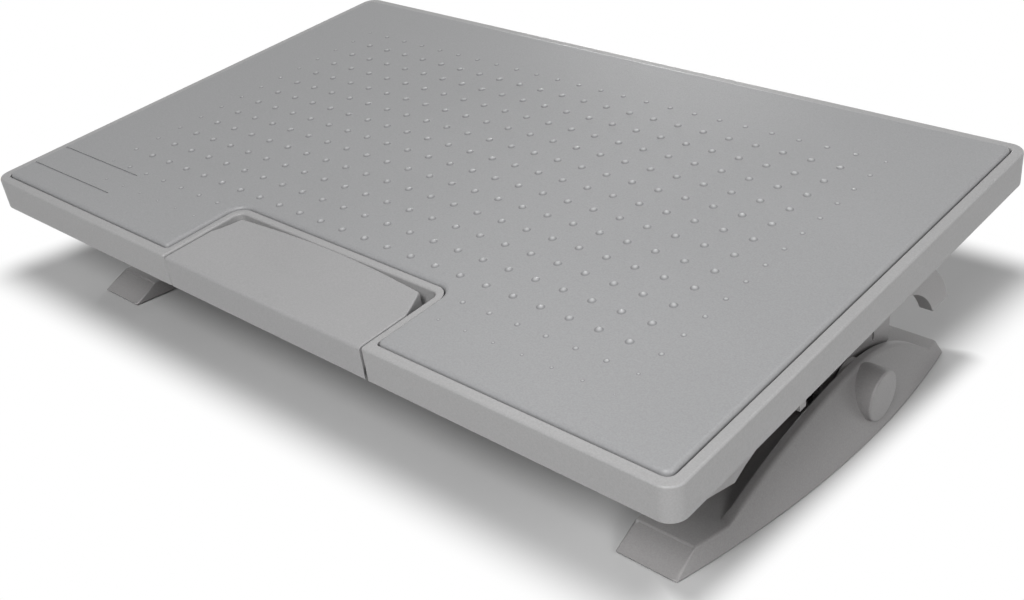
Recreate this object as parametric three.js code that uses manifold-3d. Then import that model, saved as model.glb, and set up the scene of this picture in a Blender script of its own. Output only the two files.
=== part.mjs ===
// A tilting footrest for under a desk: a ribbed plastic tray with an inset tread, carried on two
// long feet by side frames that turn on one cross axle, with a foot pedal that lets a brake go.
// Millimetres, +Z up, +X to the sitter's right, +Y away from the sitter.
import * as THREE from "three";
import { mergeVertices } from "three/addons/utils/BufferGeometryUtils.js";
import Module from "manifold-3d";

const wasm = await Module();
wasm.setup();

// Driving dimensions
const platformWidth = 550;
const platformDepth = 350;
const skirtDepth = 21;
const restTiltDegrees = 7.78;
const axleAhead = 45;
const axleDrop = 102.2;
const axleHeight = 24;
const axleBehindFootMiddle = 38;
const axleRadius = 8;
const footLength = 294;
const restTilt = THREE.MathUtils.degToRad(restTiltDegrees);

// Clearances and overruns
const gap = 0.3;
const overrun = 5;
const weld = 1e-4;

const colours = {
  tray: 0x9c9d9f,
  tread: 0x98999b,
  pedal: 0x9d9e9f,
  frame: 0x8f8d8d,
  foot: 0x858383,
  rubber: 0x2b2b2c,
  steel: 0xb5b6b8,
  lining: 0x3a3431,
};

const plastic = { roughness: 0.55, metalness: 0 };
const bareSteel = { roughness: 0.3, metalness: 1 };
const softRubber = { roughness: 0.9, metalness: 0 };

const material = {
  tray: new THREE.MeshStandardMaterial({ color: colours.tray, ...plastic }),
  tread: new THREE.MeshStandardMaterial({ color: colours.tread, ...plastic }),
  pedal: new THREE.MeshStandardMaterial({ color: colours.pedal, ...plastic }),
  frame: new THREE.MeshStandardMaterial({ color: colours.frame, ...plastic }),
  foot: new THREE.MeshStandardMaterial({ color: colours.foot, ...plastic }),
  rubber: new THREE.MeshStandardMaterial({ color: colours.rubber, ...softRubber }),
  steel: new THREE.MeshStandardMaterial({ color: colours.steel, ...bareSteel }),
  lining: new THREE.MeshStandardMaterial({ color: colours.lining, ...softRubber }),
};

// The tray: rim, skirt and the notch that the pedal sits in, in the platform's own frame, where
// zero height is the top of the rim and the middle of the platform is the origin
const halfWidth = platformWidth / 2;
const halfDepth = platformDepth / 2;
const tray = {
  corner: 10,
  edgeRound: 1.9,
  edgeStepCount: 3,
  wall: 3,
  rim: 6.3,
  notchRim: 4.8,
  deckTop: -4,
  deckThickness: 3,
  ribDepth: 8,
  ribWall: 2,
};
const notch = {
  half: 84,
  depth: 57.5,
  corner: 5,
  mouthCorner: 2.3,
  floorThickness: 2,
  floorBack: 28,
  floorFront: 7,
  rodSlotHalf: 6,
  rodSlotHeight: 6,
};
const notchRear = -halfDepth + notch.depth;
const deckUnder = tray.deckTop - tray.deckThickness;

// The tread panel that lies in the tray's recess
const tread = { gap: 0.8, rise: 1.8, edgeRound: 1, edgeStepCount: 2, corner: 5, mouthCorner: 2.4 };
// The dots on the tread: a plain grid whose edge rows and end columns fade out
const bump = {
  radius: 2.25,
  height: 0.8,
  frontInset: 37.6,
  backInset: 57.6,
  sideInset: 59.26,
  rowShares: [0.5, 0.75, 1, 1, 1, 1, 1, 1, 1, 1, 1, 1, 1, 1, 0.75],
  columnCount: 24,
  endColumnShare: 0.65,
  sideCount: 5,
};
const bumpPitchAcross = (platformWidth - 2 * bump.sideInset) / (bump.columnCount - 1);
const bumpPitchDeep = (platformDepth - bump.frontInset - bump.backInset) / (bump.rowShares.length - 1);
const bumpClear = tray.notchRim + tread.gap + tread.edgeRound + bump.radius;

// The pedal, its hinge pin and the spring under its toe
const pedal = {
  sideClear: 1.2,
  backClear: 0.8,
  shoulderInset: 7.8,
  shoulderCut: 4.7,
  straightCut: 22.7,
  wall: 2.5,
  hingeInset: 14.7,
  hingeDrop: 10,
  toeRise: -0.4,
  toeRound: 2.6,
  dish: 3.2,
  dishBack: 31,
  dishShare: 0.55,
  heelRise: 0.5,
  heelRound: 1.1,
  sideDropFront: 12.6,
  sideDropBack: 16,
  frontSkirt: 20.6,
};
const pedalHalf = notch.half - pedal.sideClear;
const pedalBack = notch.depth - pedal.backClear;
const hingeV = -halfDepth + pedalBack - pedal.hingeInset;
const hingeW = -pedal.hingeDrop;
const pin = { radius: 2.5, reach: 7, head: 4, headLength: 1.5, ribCount: 3, ribWall: 2.5, ribReach: 12 };
const pinHalf = notch.half + pin.reach;
const toeSpring = { radius: 5, wire: 0.65, seatInset: 10, turnCount: 6, stepCount: 8, sideCount: 5 };
const toeSpringLow = -skirtDepth + notch.floorThickness + toeSpring.wire + gap;
const toeSpringHigh = -pedal.dish - toeSpring.wire;

// The release rod between the pedal's lever and the brake lever
const rod = { radius: 2.5, eye: 4.5, eyeHalf: 2.4, pin: 2, leverArm: 12, forkWall: 4, forkEye: 5 };
const rodW = hingeW - rod.leverArm;

// The brake: a drum fixed on the axle and a lined shoe on a lever that swings on the hanger
const axleV = axleAhead;
const axleW = -axleDrop;
const drum = { radius: 17, half: 12 };
const lining = { thickness: 3, half: 10, fromDegrees: 142, toDegrees: 196 };
const shoe = {
  thickness: 5,
  half: 8,
  pivotAhead: 37,
  pivotRadius: 8,
  arm: 24,
  barHalf: 5,
  kneeShare: 0.33,
  spreadShare: 0.05,
};
const brakeV = axleV - shoe.pivotAhead;
const brakeW = rodW - shoe.arm;
const brakePin = { radius: 3, head: 5, headLength: 2 };
const brakeSpring = {
  radius: 5,
  wire: 0.7,
  clear: 0.7,
  endClear: 0.5,
  pitch: 1.6,
  leg: 16,
  turnCount: 4,
  stepCount: 8,
  sideCount: 5,
};
const springFrom = shoe.half + brakeSpring.wire + brakeSpring.clear;
const springTo = springFrom + brakeSpring.pitch * brakeSpring.turnCount;

// The hanger that carries the brake under the middle of the tray
const hanger = {
  cheekWall: 4,
  lip: 3,
  webWall: 2.7,
  ahead: 57,
  behind: 55,
  hub: 14,
  pivotHub: 8,
};
const cheekFrom = springTo + brakeSpring.wire + brakeSpring.endClear;
const cheekTo = cheekFrom + hanger.cheekWall;
const hangerHalf = cheekTo + hanger.lip;
const hangerFront = axleV - hanger.ahead;
const hangerBack = axleV + hanger.behind;
const webTop = deckUnder - gap;
const webUnder = webTop - hanger.webWall;

// The side frames, each an arm that goes down into its foot and an outer guard plate
const frame = {
  guardInset: 16,
  guardWall: 8.5,
  armInset: 42.5,
  armWall: 12,
  webFrontInset: 35,
  webBehind: 73,
  hub: 15,
  guardBelowSkirt: 17,
  tabLength: 33.5,
  tabBelow: 15.3,
  tabFrontBelow: 5,
  tabHeelLength: 9,
  tabHeelBelow: 11.2,
  tabBackLength: 46.5,
  clipAhead: 90,
  clipHalf: 3,
  clipBelow: 12,
  quadrantInner: 60,
  quadrantOuter: 77,
  quadrantTipRise: 27,
  armAhead: 75,
  armBehind: 67,
  heelBack: 54.5,
  heelDrop: 3,
  heelTop: 14,
  flare: 9,
  slitWidth: 2.2,
  slitBack: 34,
  slitDrop: 8,
  slitTop: 24,
};
const guardTo = halfWidth - frame.guardInset;
const guardFrom = guardTo - frame.guardWall;
const armTo = halfWidth - frame.armInset;
const armFrom = armTo - frame.armWall;
const webFront = -halfDepth + frame.webFrontInset;
const webBack = axleV + frame.webBehind;
const bush = { wall: 3, proud: 0.8, flange: 3, flangeWall: 1.2 };

// The feet: a low shoe with an arched outer wall that leans in, and a channel for the arm
const foot = {
  lift: 1,
  shoeTop: 12,
  endWidth: 37.6,
  bow: 13.7,
  leanShare: 0.405,
  frontSlope: 19,
  backSlope: 10,
  humpRise: 28,
  humpAhead: 140,
  humpBehind: 84,
  wall: 6.5,
  innerWall: 4,
  armRoom: 8,
  innerFront: -78,
  innerBack: 100,
  innerShort: 3,
  boss: 15.5,
  bossShort: 1.8,
  innerBoss: 13,
  innerBossReach: 2.5,
  hubClear: 5,
  socketDepth: 8,
  arcCount: 12,
};
const footInner = armFrom - foot.armRoom - foot.innerWall;
const humpTop = foot.shoeTop + foot.humpRise;
const bossFace = footInner + foot.endWidth + foot.bow - foot.bossShort;
const hubPocket = frame.hub + foot.hubClear;
const channelFrom = footInner + foot.innerWall;
const channelTo = armTo + gap * 4;
const pad = { front: 12, length: 46, side: 5, width: 24, recess: 2.5, corner: 6, backInset: 10 };
const tie = { radius: 5, ahead: 58, reach: 3.5 };
const axle = { bore: 6.2, endGap: 0.5 };
const screw = {
  shank: 1.75,
  head: 3.6,
  headHeight: 2,
  skin: 2.3,
  hole: 2.05,
  frontInset: 28,
  middleAhead: 55,
  backInset: 22,
  hangerInset: 16,
};
const round = { fineCount: 24, coarseCount: 12, pinCount: 8, cornerCount: 4, arcCount: 12 };

// Turns a closed three.js geometry into a solid that can be cut and joined
function solid(geometry) {
  const bare = geometry.clone();
  bare.deleteAttribute("normal");
  bare.deleteAttribute("uv");
  const merged = mergeVertices(bare, weld);
  return new wasm.Manifold(
    new wasm.Mesh({
      numProp: 3,
      vertProperties: Float32Array.from(merged.attributes.position.array),
      triVerts: Uint32Array.from(merged.index.array),
    }),
  );
}

// Gives a solid back as a named mesh
function piece(name, body, look) {
  const data = body.getMesh();
  const geometry = new THREE.BufferGeometry();
  geometry.setAttribute("position", new THREE.BufferAttribute(data.vertProperties, 3));
  geometry.setIndex(new THREE.BufferAttribute(data.triVerts, 1));
  geometry.computeVertexNormals();
  const mesh = new THREE.Mesh(geometry, look);
  mesh.name = name;
  return mesh;
}

function joined(parts) {
  return parts.reduce((all, part) => all.add(part));
}

function without(body, cuts) {
  return cuts.reduce((left, cut) => left.subtract(cut), body);
}

// A plan outline raised from one height to another
function plan(shape, low, high) {
  const geometry = new THREE.ExtrudeGeometry(shape, {
    depth: high - low,
    bevelEnabled: false,
    curveSegments: round.cornerCount,
  });
  return solid(geometry.translate(0, 0, low));
}

// A plan outline whose top edge is rounded inwards
function roundedPlan(shape, low, high, edge, steps) {
  const geometry = new THREE.ExtrudeGeometry(shape, {
    depth: high - low - edge,
    bevelThickness: edge,
    bevelSize: edge,
    bevelOffset: -edge,
    bevelSegments: steps,
    curveSegments: round.cornerCount,
  });
  return solid(geometry.translate(0, 0, low)).subtract(slab(low - edge - overrun, low));
}

// A wide block between two heights, for trimming
function slab(low, high) {
  return box(-platformWidth, platformWidth, -platformDepth, platformDepth, low, high);
}

// A side outline, drawn with depth and height, run from one place across to another
function side(shape, from, to) {
  const geometry = new THREE.ExtrudeGeometry(shape, {
    depth: to - from,
    bevelEnabled: false,
    curveSegments: round.arcCount,
  });
  const across = new THREE.Matrix4().makeBasis(
    new THREE.Vector3(0, 1, 0),
    new THREE.Vector3(0, 0, 1),
    new THREE.Vector3(1, 0, 0),
  );
  return solid(geometry.applyMatrix4(across).translate(from, 0, 0));
}

function box(x0, x1, y0, y1, z0, z1) {
  const geometry = new THREE.BoxGeometry(x1 - x0, y1 - y0, z1 - z0);
  return solid(geometry.translate((x0 + x1) / 2, (y0 + y1) / 2, (z0 + z1) / 2));
}

// A round bar across the footrest
function barAcross(radius, from, to, y, z, sides) {
  const geometry = new THREE.CylinderGeometry(radius, radius, to - from, sides);
  geometry.rotateZ(Math.PI / 2).translate((from + to) / 2, y, z);
  return solid(geometry);
}

// A round bar from front to back
function barDeep(radius, x, from, to, z, sides) {
  const geometry = new THREE.CylinderGeometry(radius, radius, to - from, sides);
  return solid(geometry.translate(x, (from + to) / 2, z));
}

// A round bar that stands up
function post(radius, x, y, low, high, sides) {
  const geometry = new THREE.CylinderGeometry(radius, radius, high - low, sides);
  return solid(geometry.rotateX(Math.PI / 2).translate(x, y, (low + high) / 2));
}

function outline(points) {
  return new THREE.Shape(points.map(([a, b]) => new THREE.Vector2(a, b)));
}

function roundedRectangle(x0, x1, y0, y1, corner) {
  const shape = new THREE.Shape();
  shape.absarc(x0 + corner, y0 + corner, corner, Math.PI, Math.PI * 1.5);
  shape.absarc(x1 - corner, y0 + corner, corner, Math.PI * 1.5, Math.PI * 2);
  shape.absarc(x1 - corner, y1 - corner, corner, 0, Math.PI / 2);
  shape.absarc(x0 + corner, y1 - corner, corner, Math.PI / 2, Math.PI);
  return shape;
}

// The same piece on the other side, with its faces kept outwards
function mirrored(body) {
  return body.mirror([1, 0, 0]);
}

// The platform's outline with its notch, drawn inset from the edge and grown round the notch
function deckOutline(inset, corner, grown, notchCorner, mouthCorner) {
  const half = halfWidth - inset;
  const front = -halfDepth + inset;
  const back = halfDepth - inset;
  const sideX = notch.half + grown;
  const rear = notchRear + grown;
  const shape = new THREE.Shape();
  shape.absarc(-half + corner, front + corner, corner, Math.PI, Math.PI * 1.5);
  shape.absarc(-sideX - mouthCorner, front + mouthCorner, mouthCorner, -Math.PI / 2, 0);
  shape.absarc(-sideX + notchCorner, rear - notchCorner, notchCorner, Math.PI, Math.PI / 2, true);
  shape.absarc(sideX - notchCorner, rear - notchCorner, notchCorner, Math.PI / 2, 0, true);
  shape.absarc(sideX + mouthCorner, front + mouthCorner, mouthCorner, Math.PI, Math.PI * 1.5);
  shape.absarc(half - corner, front + corner, corner, Math.PI * 1.5, Math.PI * 2);
  shape.absarc(half - corner, back - corner, corner, 0, Math.PI / 2);
  shape.absarc(-half + corner, back - corner, corner, Math.PI / 2, Math.PI);
  return shape;
}

// Where the screws go up into the platform, and what each one holds
const screwRows = {
  side_frame: [webFront + screw.frontInset, axleV - screw.middleAhead, webBack - screw.backInset],
  hanger: [hangerFront + screw.hangerInset, hangerBack - screw.hangerInset],
};
const sideScrewX = (armTo + guardFrom) / 2;
const hangerScrewX = (cheekFrom + shoe.half) / 2;
const screwPlaces = [
  ...screwRows.side_frame.map((v, i) => [`side_frame_screw_right_${i + 1}`, sideScrewX, v]),
  ...screwRows.side_frame.map((v, i) => [`side_frame_screw_left_${i + 1}`, -sideScrewX, v]),
  ...screwRows.hanger.map((v, i) => [`hanger_screw_right_${i + 1}`, hangerScrewX, v]),
  ...screwRows.hanger.map((v, i) => [`hanger_screw_left_${i + 1}`, -hangerScrewX, v]),
];
const screwTop = tread.rise - screw.skin;

function screwHoles(low, high) {
  return screwPlaces.map(([, x, y]) => post(screw.hole, x, y, low, high, round.pinCount));
}

// The ribs under the deck, left out where the frames, the hanger and the notch are
function trayRibs() {
  const low = deckUnder - tray.ribDepth;
  const ribs = [];
  const acrossShares = [-0.5, -0.22, 0.06, 0.42, 0.74];
  const deepShares = [0.316, 0.632, 0.936];
  const reach = armFrom - tray.wall;
  for (const share of acrossShares) {
    const y = share * halfDepth;
    ribs.push(box(-reach, reach, y - tray.ribWall / 2, y + tray.ribWall / 2, low, deckUnder + gap));
  }
  for (const share of deepShares) {
    for (const hand of [-1, 1]) {
      const x = hand * share * reach;
      const wall = tray.ribWall / 2;
      ribs.push(box(x - wall, x + wall, -halfDepth, halfDepth, low, deckUnder + gap));
    }
  }
  const inset = tray.wall - gap;
  const inside = plan(deckOutline(inset, tray.corner, inset, notch.corner, notch.mouthCorner), low, 0);
  const keepOut = box(
    -hangerHalf - gap, hangerHalf + gap, hangerFront - tray.ribWall, hangerBack + tray.ribWall,
    low - overrun, deckUnder,
  );
  return joined(ribs).intersect(inside).subtract(keepOut);
}

function makeTray() {
  const low = -skirtDepth;
  const body = roundedPlan(
    deckOutline(0, tray.corner, 0, notch.corner, notch.mouthCorner),
    low, 0, tray.edgeRound, tray.edgeStepCount,
  );
  const cavity = plan(
    deckOutline(tray.wall, tray.corner - tray.wall, tray.wall, notch.corner, notch.mouthCorner),
    low - overrun, deckUnder,
  );
  const recess = plan(
    deckOutline(tray.rim, tread.corner, tray.notchRim, notch.corner + tray.notchRim, tread.mouthCorner),
    tray.deckTop, overrun,
  );
  const floor = box(
    -notch.half - gap, notch.half + gap,
    -halfDepth + notch.floorFront, -halfDepth + notch.floorFront + notch.floorBack,
    low, low + notch.floorThickness,
  );
  const rodSlot = box(
    -notch.rodSlotHalf, notch.rodSlotHalf, notchRear - overrun, notchRear + tray.wall + overrun,
    low - overrun, low + notch.rodSlotHeight,
  );
  const pinBore = barAcross(
    pin.radius + gap, -pinHalf - overrun, pinHalf + overrun, hingeV, hingeW, round.pinCount,
  );
  const headRoom = barAcross(
    pin.head + gap, pinHalf - gap, pinHalf + pin.headLength + overrun, hingeV, hingeW, round.coarseCount,
  );
  const shell = without(body, [cavity, recess, rodSlot]);
  return without(joined([shell, trayRibs(), floor]), [pinBore, headRoom, ...screwHoles(low, overrun)]);
}

// The tread's dots, left out where the notch is
function treadDots() {
  const dots = [];
  const last = (bump.columnCount - 1) / 2;
  bump.rowShares.forEach((rowShare, row) => {
    const y = -halfDepth + bump.frontInset + row * bumpPitchDeep;
    for (let column = -last; column <= last; column += 1) {
      const x = column * bumpPitchAcross;
      const clearOfNotch = y > notchRear + bumpClear || Math.abs(x) > notch.half + bumpClear;
      if (clearOfNotch) {
        const share = rowShare * (Math.abs(column) === last ? bump.endColumnShare : 1);
        const cone = new THREE.ConeGeometry(bump.radius * share, (bump.height + gap) * share, bump.sideCount);
        const middle = tread.rise + ((bump.height - gap) * share) / 2;
        dots.push(solid(cone.rotateX(Math.PI / 2).translate(x, y, middle)));
      }
    }
  });
  return wasm.Manifold.union(dots);
}

function makeTread() {
  const low = tray.deckTop + gap;
  const slackSide = tray.rim + tread.gap;
  const slackNotch = tray.notchRim + tread.gap;
  const body = roundedPlan(
    deckOutline(slackSide, tread.corner, slackNotch, notch.corner + slackNotch, tread.mouthCorner),
    low, tread.rise, tread.edgeRound, tread.edgeStepCount,
  );
  return without(body, screwHoles(low - overrun, screwTop + gap)).add(treadDots());
}

// The pedal's plan: straight sides, cut shoulders and a heel edge on one wide arc
function pedalPlan(inset) {
  const front = -halfDepth + inset;
  const half = pedalHalf - inset;
  const shoulderHalf = half - pedal.shoulderInset;
  const straight = -halfDepth + pedalBack - pedal.straightCut;
  const heel = -halfDepth + pedalBack - inset;
  const shoulder = heel - pedal.shoulderCut;
  const rise = heel - shoulder;
  const radius = (shoulderHalf ** 2 + rise ** 2) / (2 * rise);
  const sweep = Math.asin(shoulderHalf / radius);
  const shape = new THREE.Shape();
  shape.moveTo(-half, front);
  shape.lineTo(half, front);
  shape.lineTo(half, straight);
  shape.absarc(0, heel - radius, radius, Math.PI / 2 - sweep, Math.PI / 2 + sweep);
  shape.lineTo(-half, straight);
  return shape;
}

// The pedal's section: toe edge rounded over, a dish with its crease, and a heel that rises
function pedalSection(down, low) {
  const front = -halfDepth;
  const toe = pedal.toeRise - down;
  const crease = -pedal.dish - down;
  const heel = pedal.heelRise - down;
  const shape = new THREE.Shape();
  shape.moveTo(front - overrun, low);
  shape.lineTo(front - overrun, toe - pedal.toeRound);
  shape.lineTo(front, toe - pedal.toeRound);
  shape.absarc(front + pedal.toeRound, toe - pedal.toeRound, pedal.toeRound, Math.PI, Math.PI / 2, true);
  const fall = pedal.dishBack * pedal.dishShare;
  const rise = (pedalBack - pedal.dishBack) * pedal.dishShare;
  shape.quadraticCurveTo(front + fall, crease, front + pedal.dishBack, crease);
  shape.quadraticCurveTo(
    front + pedal.dishBack + rise, crease, front + pedalBack - pedal.heelRound, heel,
  );
  shape.lineTo(front + pedalBack, heel - pedal.heelRound);
  shape.lineTo(front + pedalBack + overrun, heel - pedal.heelRound);
  shape.lineTo(front + pedalBack + overrun, low);
  return shape;
}

function makePedal() {
  const front = -halfDepth;
  const reach = pedalHalf + overrun;
  const low = -skirtDepth;
  const block = plan(pedalPlan(0), low, pedal.toeRound).intersect(side(pedalSection(0, low), -reach, reach));
  const hollow = plan(pedalPlan(pedal.wall), low - overrun, 0)
    .intersect(side(pedalSection(pedal.wall, low - overrun), -reach, reach));
  const undercut = side(
    outline([
      [front + pedal.wall, -pedal.sideDropFront],
      [front + pedalBack - pedal.straightCut, -pedal.sideDropBack],
      [front + pedalBack + overrun, -pedal.sideDropBack],
      [front + pedalBack + overrun, low - overrun],
      [front + pedal.wall, low - overrun],
    ]), -reach, reach,
  );
  const lip = box(-reach, reach, front - overrun, front + pedal.wall + gap, low - overrun, -pedal.frontSkirt);
  const shell = without(block, [hollow, undercut, lip]);
  const ribs = [];
  const ribPitch = (pedalHalf - pedal.shoulderInset) / (pin.ribCount + 1);
  for (let i = 0; i < pin.ribCount; i += 1) {
    for (const hand of [-1, 1]) {
      const x = hand * (i + 1) * ribPitch;
      ribs.push(box(x - pin.ribWall / 2, x + pin.ribWall / 2, hingeV - pin.ribReach, hingeV + pin.ribReach,
        -pedal.sideDropBack, pedal.heelRise));
    }
  }
  const inner = side(pedalSection(pedal.wall - gap, low - overrun * 2), -reach, reach);
  const shaped = joined(ribs).intersect(inner).intersect(plan(pedalPlan(pedal.wall - gap), low - overrun, 0));
  const forkProfile = outline([
    [hingeV - rod.forkEye * 2, pedal.heelRise],
    [hingeV - rod.forkEye, rodW],
    [hingeV, rodW - rod.forkEye],
    [hingeV + rod.forkEye, rodW],
    [hingeV + rod.forkEye * 2, pedal.heelRise],
  ]);
  const forks = [-1, 1].map((hand) => {
    const near = rod.eyeHalf + gap * 2;
    const far = near + rod.forkWall;
    return side(forkProfile, Math.min(hand * near, hand * far), Math.max(hand * near, hand * far))
      .intersect(inner);
  });
  const bores = [
    barAcross(pin.radius + gap, -reach, reach, hingeV, hingeW, round.pinCount),
    barAcross(rod.pin + gap, -rod.forkEye * 3, rod.forkEye * 3, hingeV, rodW, round.pinCount),
  ];
  return without(joined([shell, shaped, ...forks]), bores);
}

function makePedalPin() {
  const shaft = barAcross(pin.radius, -pinHalf, pinHalf, hingeV, hingeW, round.pinCount);
  const head = barAcross(pin.head, pinHalf, pinHalf + pin.headLength, hingeV, hingeW, round.coarseCount);
  return shaft.add(head);
}

// A coil of wire that stands on its end
class Coil extends THREE.Curve {
  constructor(radius, low, high, turns) {
    super();
    this.radius = radius;
    this.low = low;
    this.high = high;
    this.turns = turns;
  }

  getPoint(t, target = new THREE.Vector3()) {
    const angle = t * this.turns * Math.PI * 2;
    const x = Math.cos(angle) * this.radius;
    const y = Math.sin(angle) * this.radius;
    return target.set(x, y, this.low + (this.high - this.low) * t);
  }
}

function wireSection(radius, sides) {
  const points = [];
  for (let i = 0; i < sides; i += 1) {
    const angle = (i / sides) * Math.PI * 2;
    points.push([Math.cos(angle) * radius, Math.sin(angle) * radius]);
  }
  return outline(points);
}

function makeToeSpring() {
  const path = new Coil(toeSpring.radius, toeSpringLow, toeSpringHigh - pedal.wall, toeSpring.turnCount);
  const geometry = new THREE.ExtrudeGeometry(wireSection(toeSpring.wire, toeSpring.sideCount), {
    steps: toeSpring.turnCount * toeSpring.stepCount,
    extrudePath: path,
  });
  const turn = (toeSpringHigh - pedal.wall - toeSpringLow) / toeSpring.turnCount;
  console.log("least gap between the pedal spring's turns, mm:", (turn - 2 * toeSpring.wire).toFixed(2));
  return solid(geometry.translate(0, -halfDepth + notch.floorFront + toeSpring.seatInset, 0));
}

// The brake's torsion spring: a leg, turns round the pivot pin, and a second leg
function makeBrakeSpring() {
  const path = new Coil(brakeSpring.radius, 0, springTo - springFrom, brakeSpring.turnCount);
  const coil = new THREE.ExtrudeGeometry(wireSection(brakeSpring.wire, brakeSpring.sideCount), {
    steps: brakeSpring.turnCount * brakeSpring.stepCount,
    extrudePath: path,
  });
  const leg = (z, hand) => {
    const wire = brakeSpring.wire;
    const bar = new THREE.CylinderGeometry(wire, wire, brakeSpring.leg, brakeSpring.sideCount);
    return solid(bar.translate(brakeSpring.radius, (hand * brakeSpring.leg) / 2, z));
  };
  const wound = joined([solid(coil), leg(0, -1), leg(springTo - springFrom, 1)]);
  return wound.rotate([0, 90, 0]).translate([springFrom, brakeV, brakeW]);
}

function makeReleaseRod() {
  const eye = (v) => barAcross(rod.eye, -rod.eyeHalf, rod.eyeHalf, v, rodW, round.coarseCount);
  const hole = (v) => barAcross(
    rod.pin + gap, -rod.eyeHalf - overrun, rod.eyeHalf + overrun, v, rodW, round.pinCount,
  );
  const shaft = barDeep(rod.radius, 0, hingeV, brakeV, rodW, round.pinCount);
  const flat = box(-rod.eyeHalf, rod.eyeHalf, hingeV, brakeV, rodW - rod.radius, rodW + rod.radius);
  const body = joined([shaft.intersect(flat), eye(hingeV), eye(brakeV)]);
  return without(body, [hole(hingeV), hole(brakeV)]);
}

function makeRodPin(v) {
  const half = rod.eyeHalf + gap * 2 + rod.forkWall;
  return barAcross(rod.pin, -half, half, v, rodW, round.pinCount);
}

// A slice of a ring round the axle, drawn in the side view
function ringSlice(inner, outer, fromDegrees, toDegrees) {
  const from = THREE.MathUtils.degToRad(fromDegrees);
  const to = THREE.MathUtils.degToRad(toDegrees);
  const shape = new THREE.Shape();
  shape.absarc(axleV, axleW, outer, from, to);
  shape.absarc(axleV, axleW, inner, to, from, true);
  return shape;
}

function makeBrakeLever() {
  const inner = drum.radius + gap + lining.thickness + gap;
  const outer = inner + shoe.thickness;
  const spread = shoe.spreadShare * (lining.toDegrees - lining.fromDegrees);
  const shoeRing = ringSlice(inner, outer, lining.fromDegrees - spread, lining.toDegrees + spread);
  const shoeBody = side(shoeRing, -shoe.half, shoe.half);
  const topV = brakeV;
  const topW = rodW;
  const shoeV = axleV - (inner + outer) / 2;
  const bar = outline([
    [brakeV - shoe.barHalf, brakeW],
    [shoeV - shoe.barHalf / 2, axleW],
    [shoeV + shoe.barHalf / 2, axleW],
    [shoeV + shoe.barHalf, axleW + (brakeW - axleW) * shoe.kneeShare],
    [brakeV + shoe.barHalf, brakeW],
    [topV + rod.forkEye, topW],
    [topV - rod.forkEye, topW],
  ]);
  const pivot = barAcross(shoe.pivotRadius, -shoe.half, shoe.half, brakeV, brakeW, round.coarseCount);
  const top = barAcross(rod.forkEye, -shoe.half, shoe.half, topV, topW, round.coarseCount);
  const slot = box(
    -rod.eyeHalf - gap * 2, rod.eyeHalf + gap * 2, topV - shoe.arm, topV + shoe.arm,
    topW - rod.forkEye * 2, topW + shoe.arm,
  );
  const past = shoe.half + overrun;
  const drumRoom = barAcross(inner, -past, past, axleV, axleW, round.fineCount * 2);
  const body = joined([shoeBody, side(bar, -shoe.half, shoe.half), pivot, top]);
  return without(body, [
    slot,
    drumRoom,
    barAcross(brakePin.radius + gap, -past, past, brakeV, brakeW, round.pinCount),
    barAcross(rod.pin + gap, -past, past, topV, topW, round.pinCount),
  ]);
}

function makeBrakeLining() {
  const inner = drum.radius + gap;
  const ring = ringSlice(inner, inner + lining.thickness, lining.fromDegrees, lining.toDegrees);
  return side(ring, -lining.half, lining.half);
}

function makeBrakePin() {
  const reach = cheekTo + gap;
  const shaft = barAcross(brakePin.radius, -reach, reach, brakeV, brakeW, round.coarseCount);
  const heads = [-1, 1].map((hand) => {
    const a = hand * reach;
    const b = hand * (reach + brakePin.headLength);
    return barAcross(brakePin.head, Math.min(a, b), Math.max(a, b), brakeV, brakeW, round.coarseCount);
  });
  return joined([shaft, ...heads]);
}

// The hanger: a web under the deck and two cheeks that reach down to the axle
function makeHanger() {
  const web = box(-hangerHalf, hangerHalf, hangerFront, hangerBack, webUnder, webTop);
  const cheek = outline([
    [hangerFront, webTop],
    [hangerFront, webUnder - hanger.webWall],
    [brakeV - hanger.pivotHub, brakeW],
    [brakeV, brakeW - hanger.pivotHub],
    [axleV - hanger.hub, axleW],
    [axleV, axleW - hanger.hub],
    [axleV + hanger.hub, axleW],
    [hangerBack, webUnder - hanger.webWall],
    [hangerBack, webTop],
  ]);
  const cheeks = [cheekFrom, -cheekTo].map((x) => {
    const plate = side(cheek, x, x + hanger.cheekWall);
    const hub = barAcross(hanger.hub, x, x + hanger.cheekWall, axleV, axleW, round.fineCount);
    return plate.add(hub);
  });
  return without(joined([web, ...cheeks]), [
    barAcross(axleRadius + gap, -hangerHalf, hangerHalf, axleV, axleW, round.fineCount),
    barAcross(brakePin.radius + gap, -hangerHalf, hangerHalf, brakeV, brakeW, round.coarseCount),
    ...screwHoles(webUnder - overrun, webTop + overrun),
  ]);
}

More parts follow.
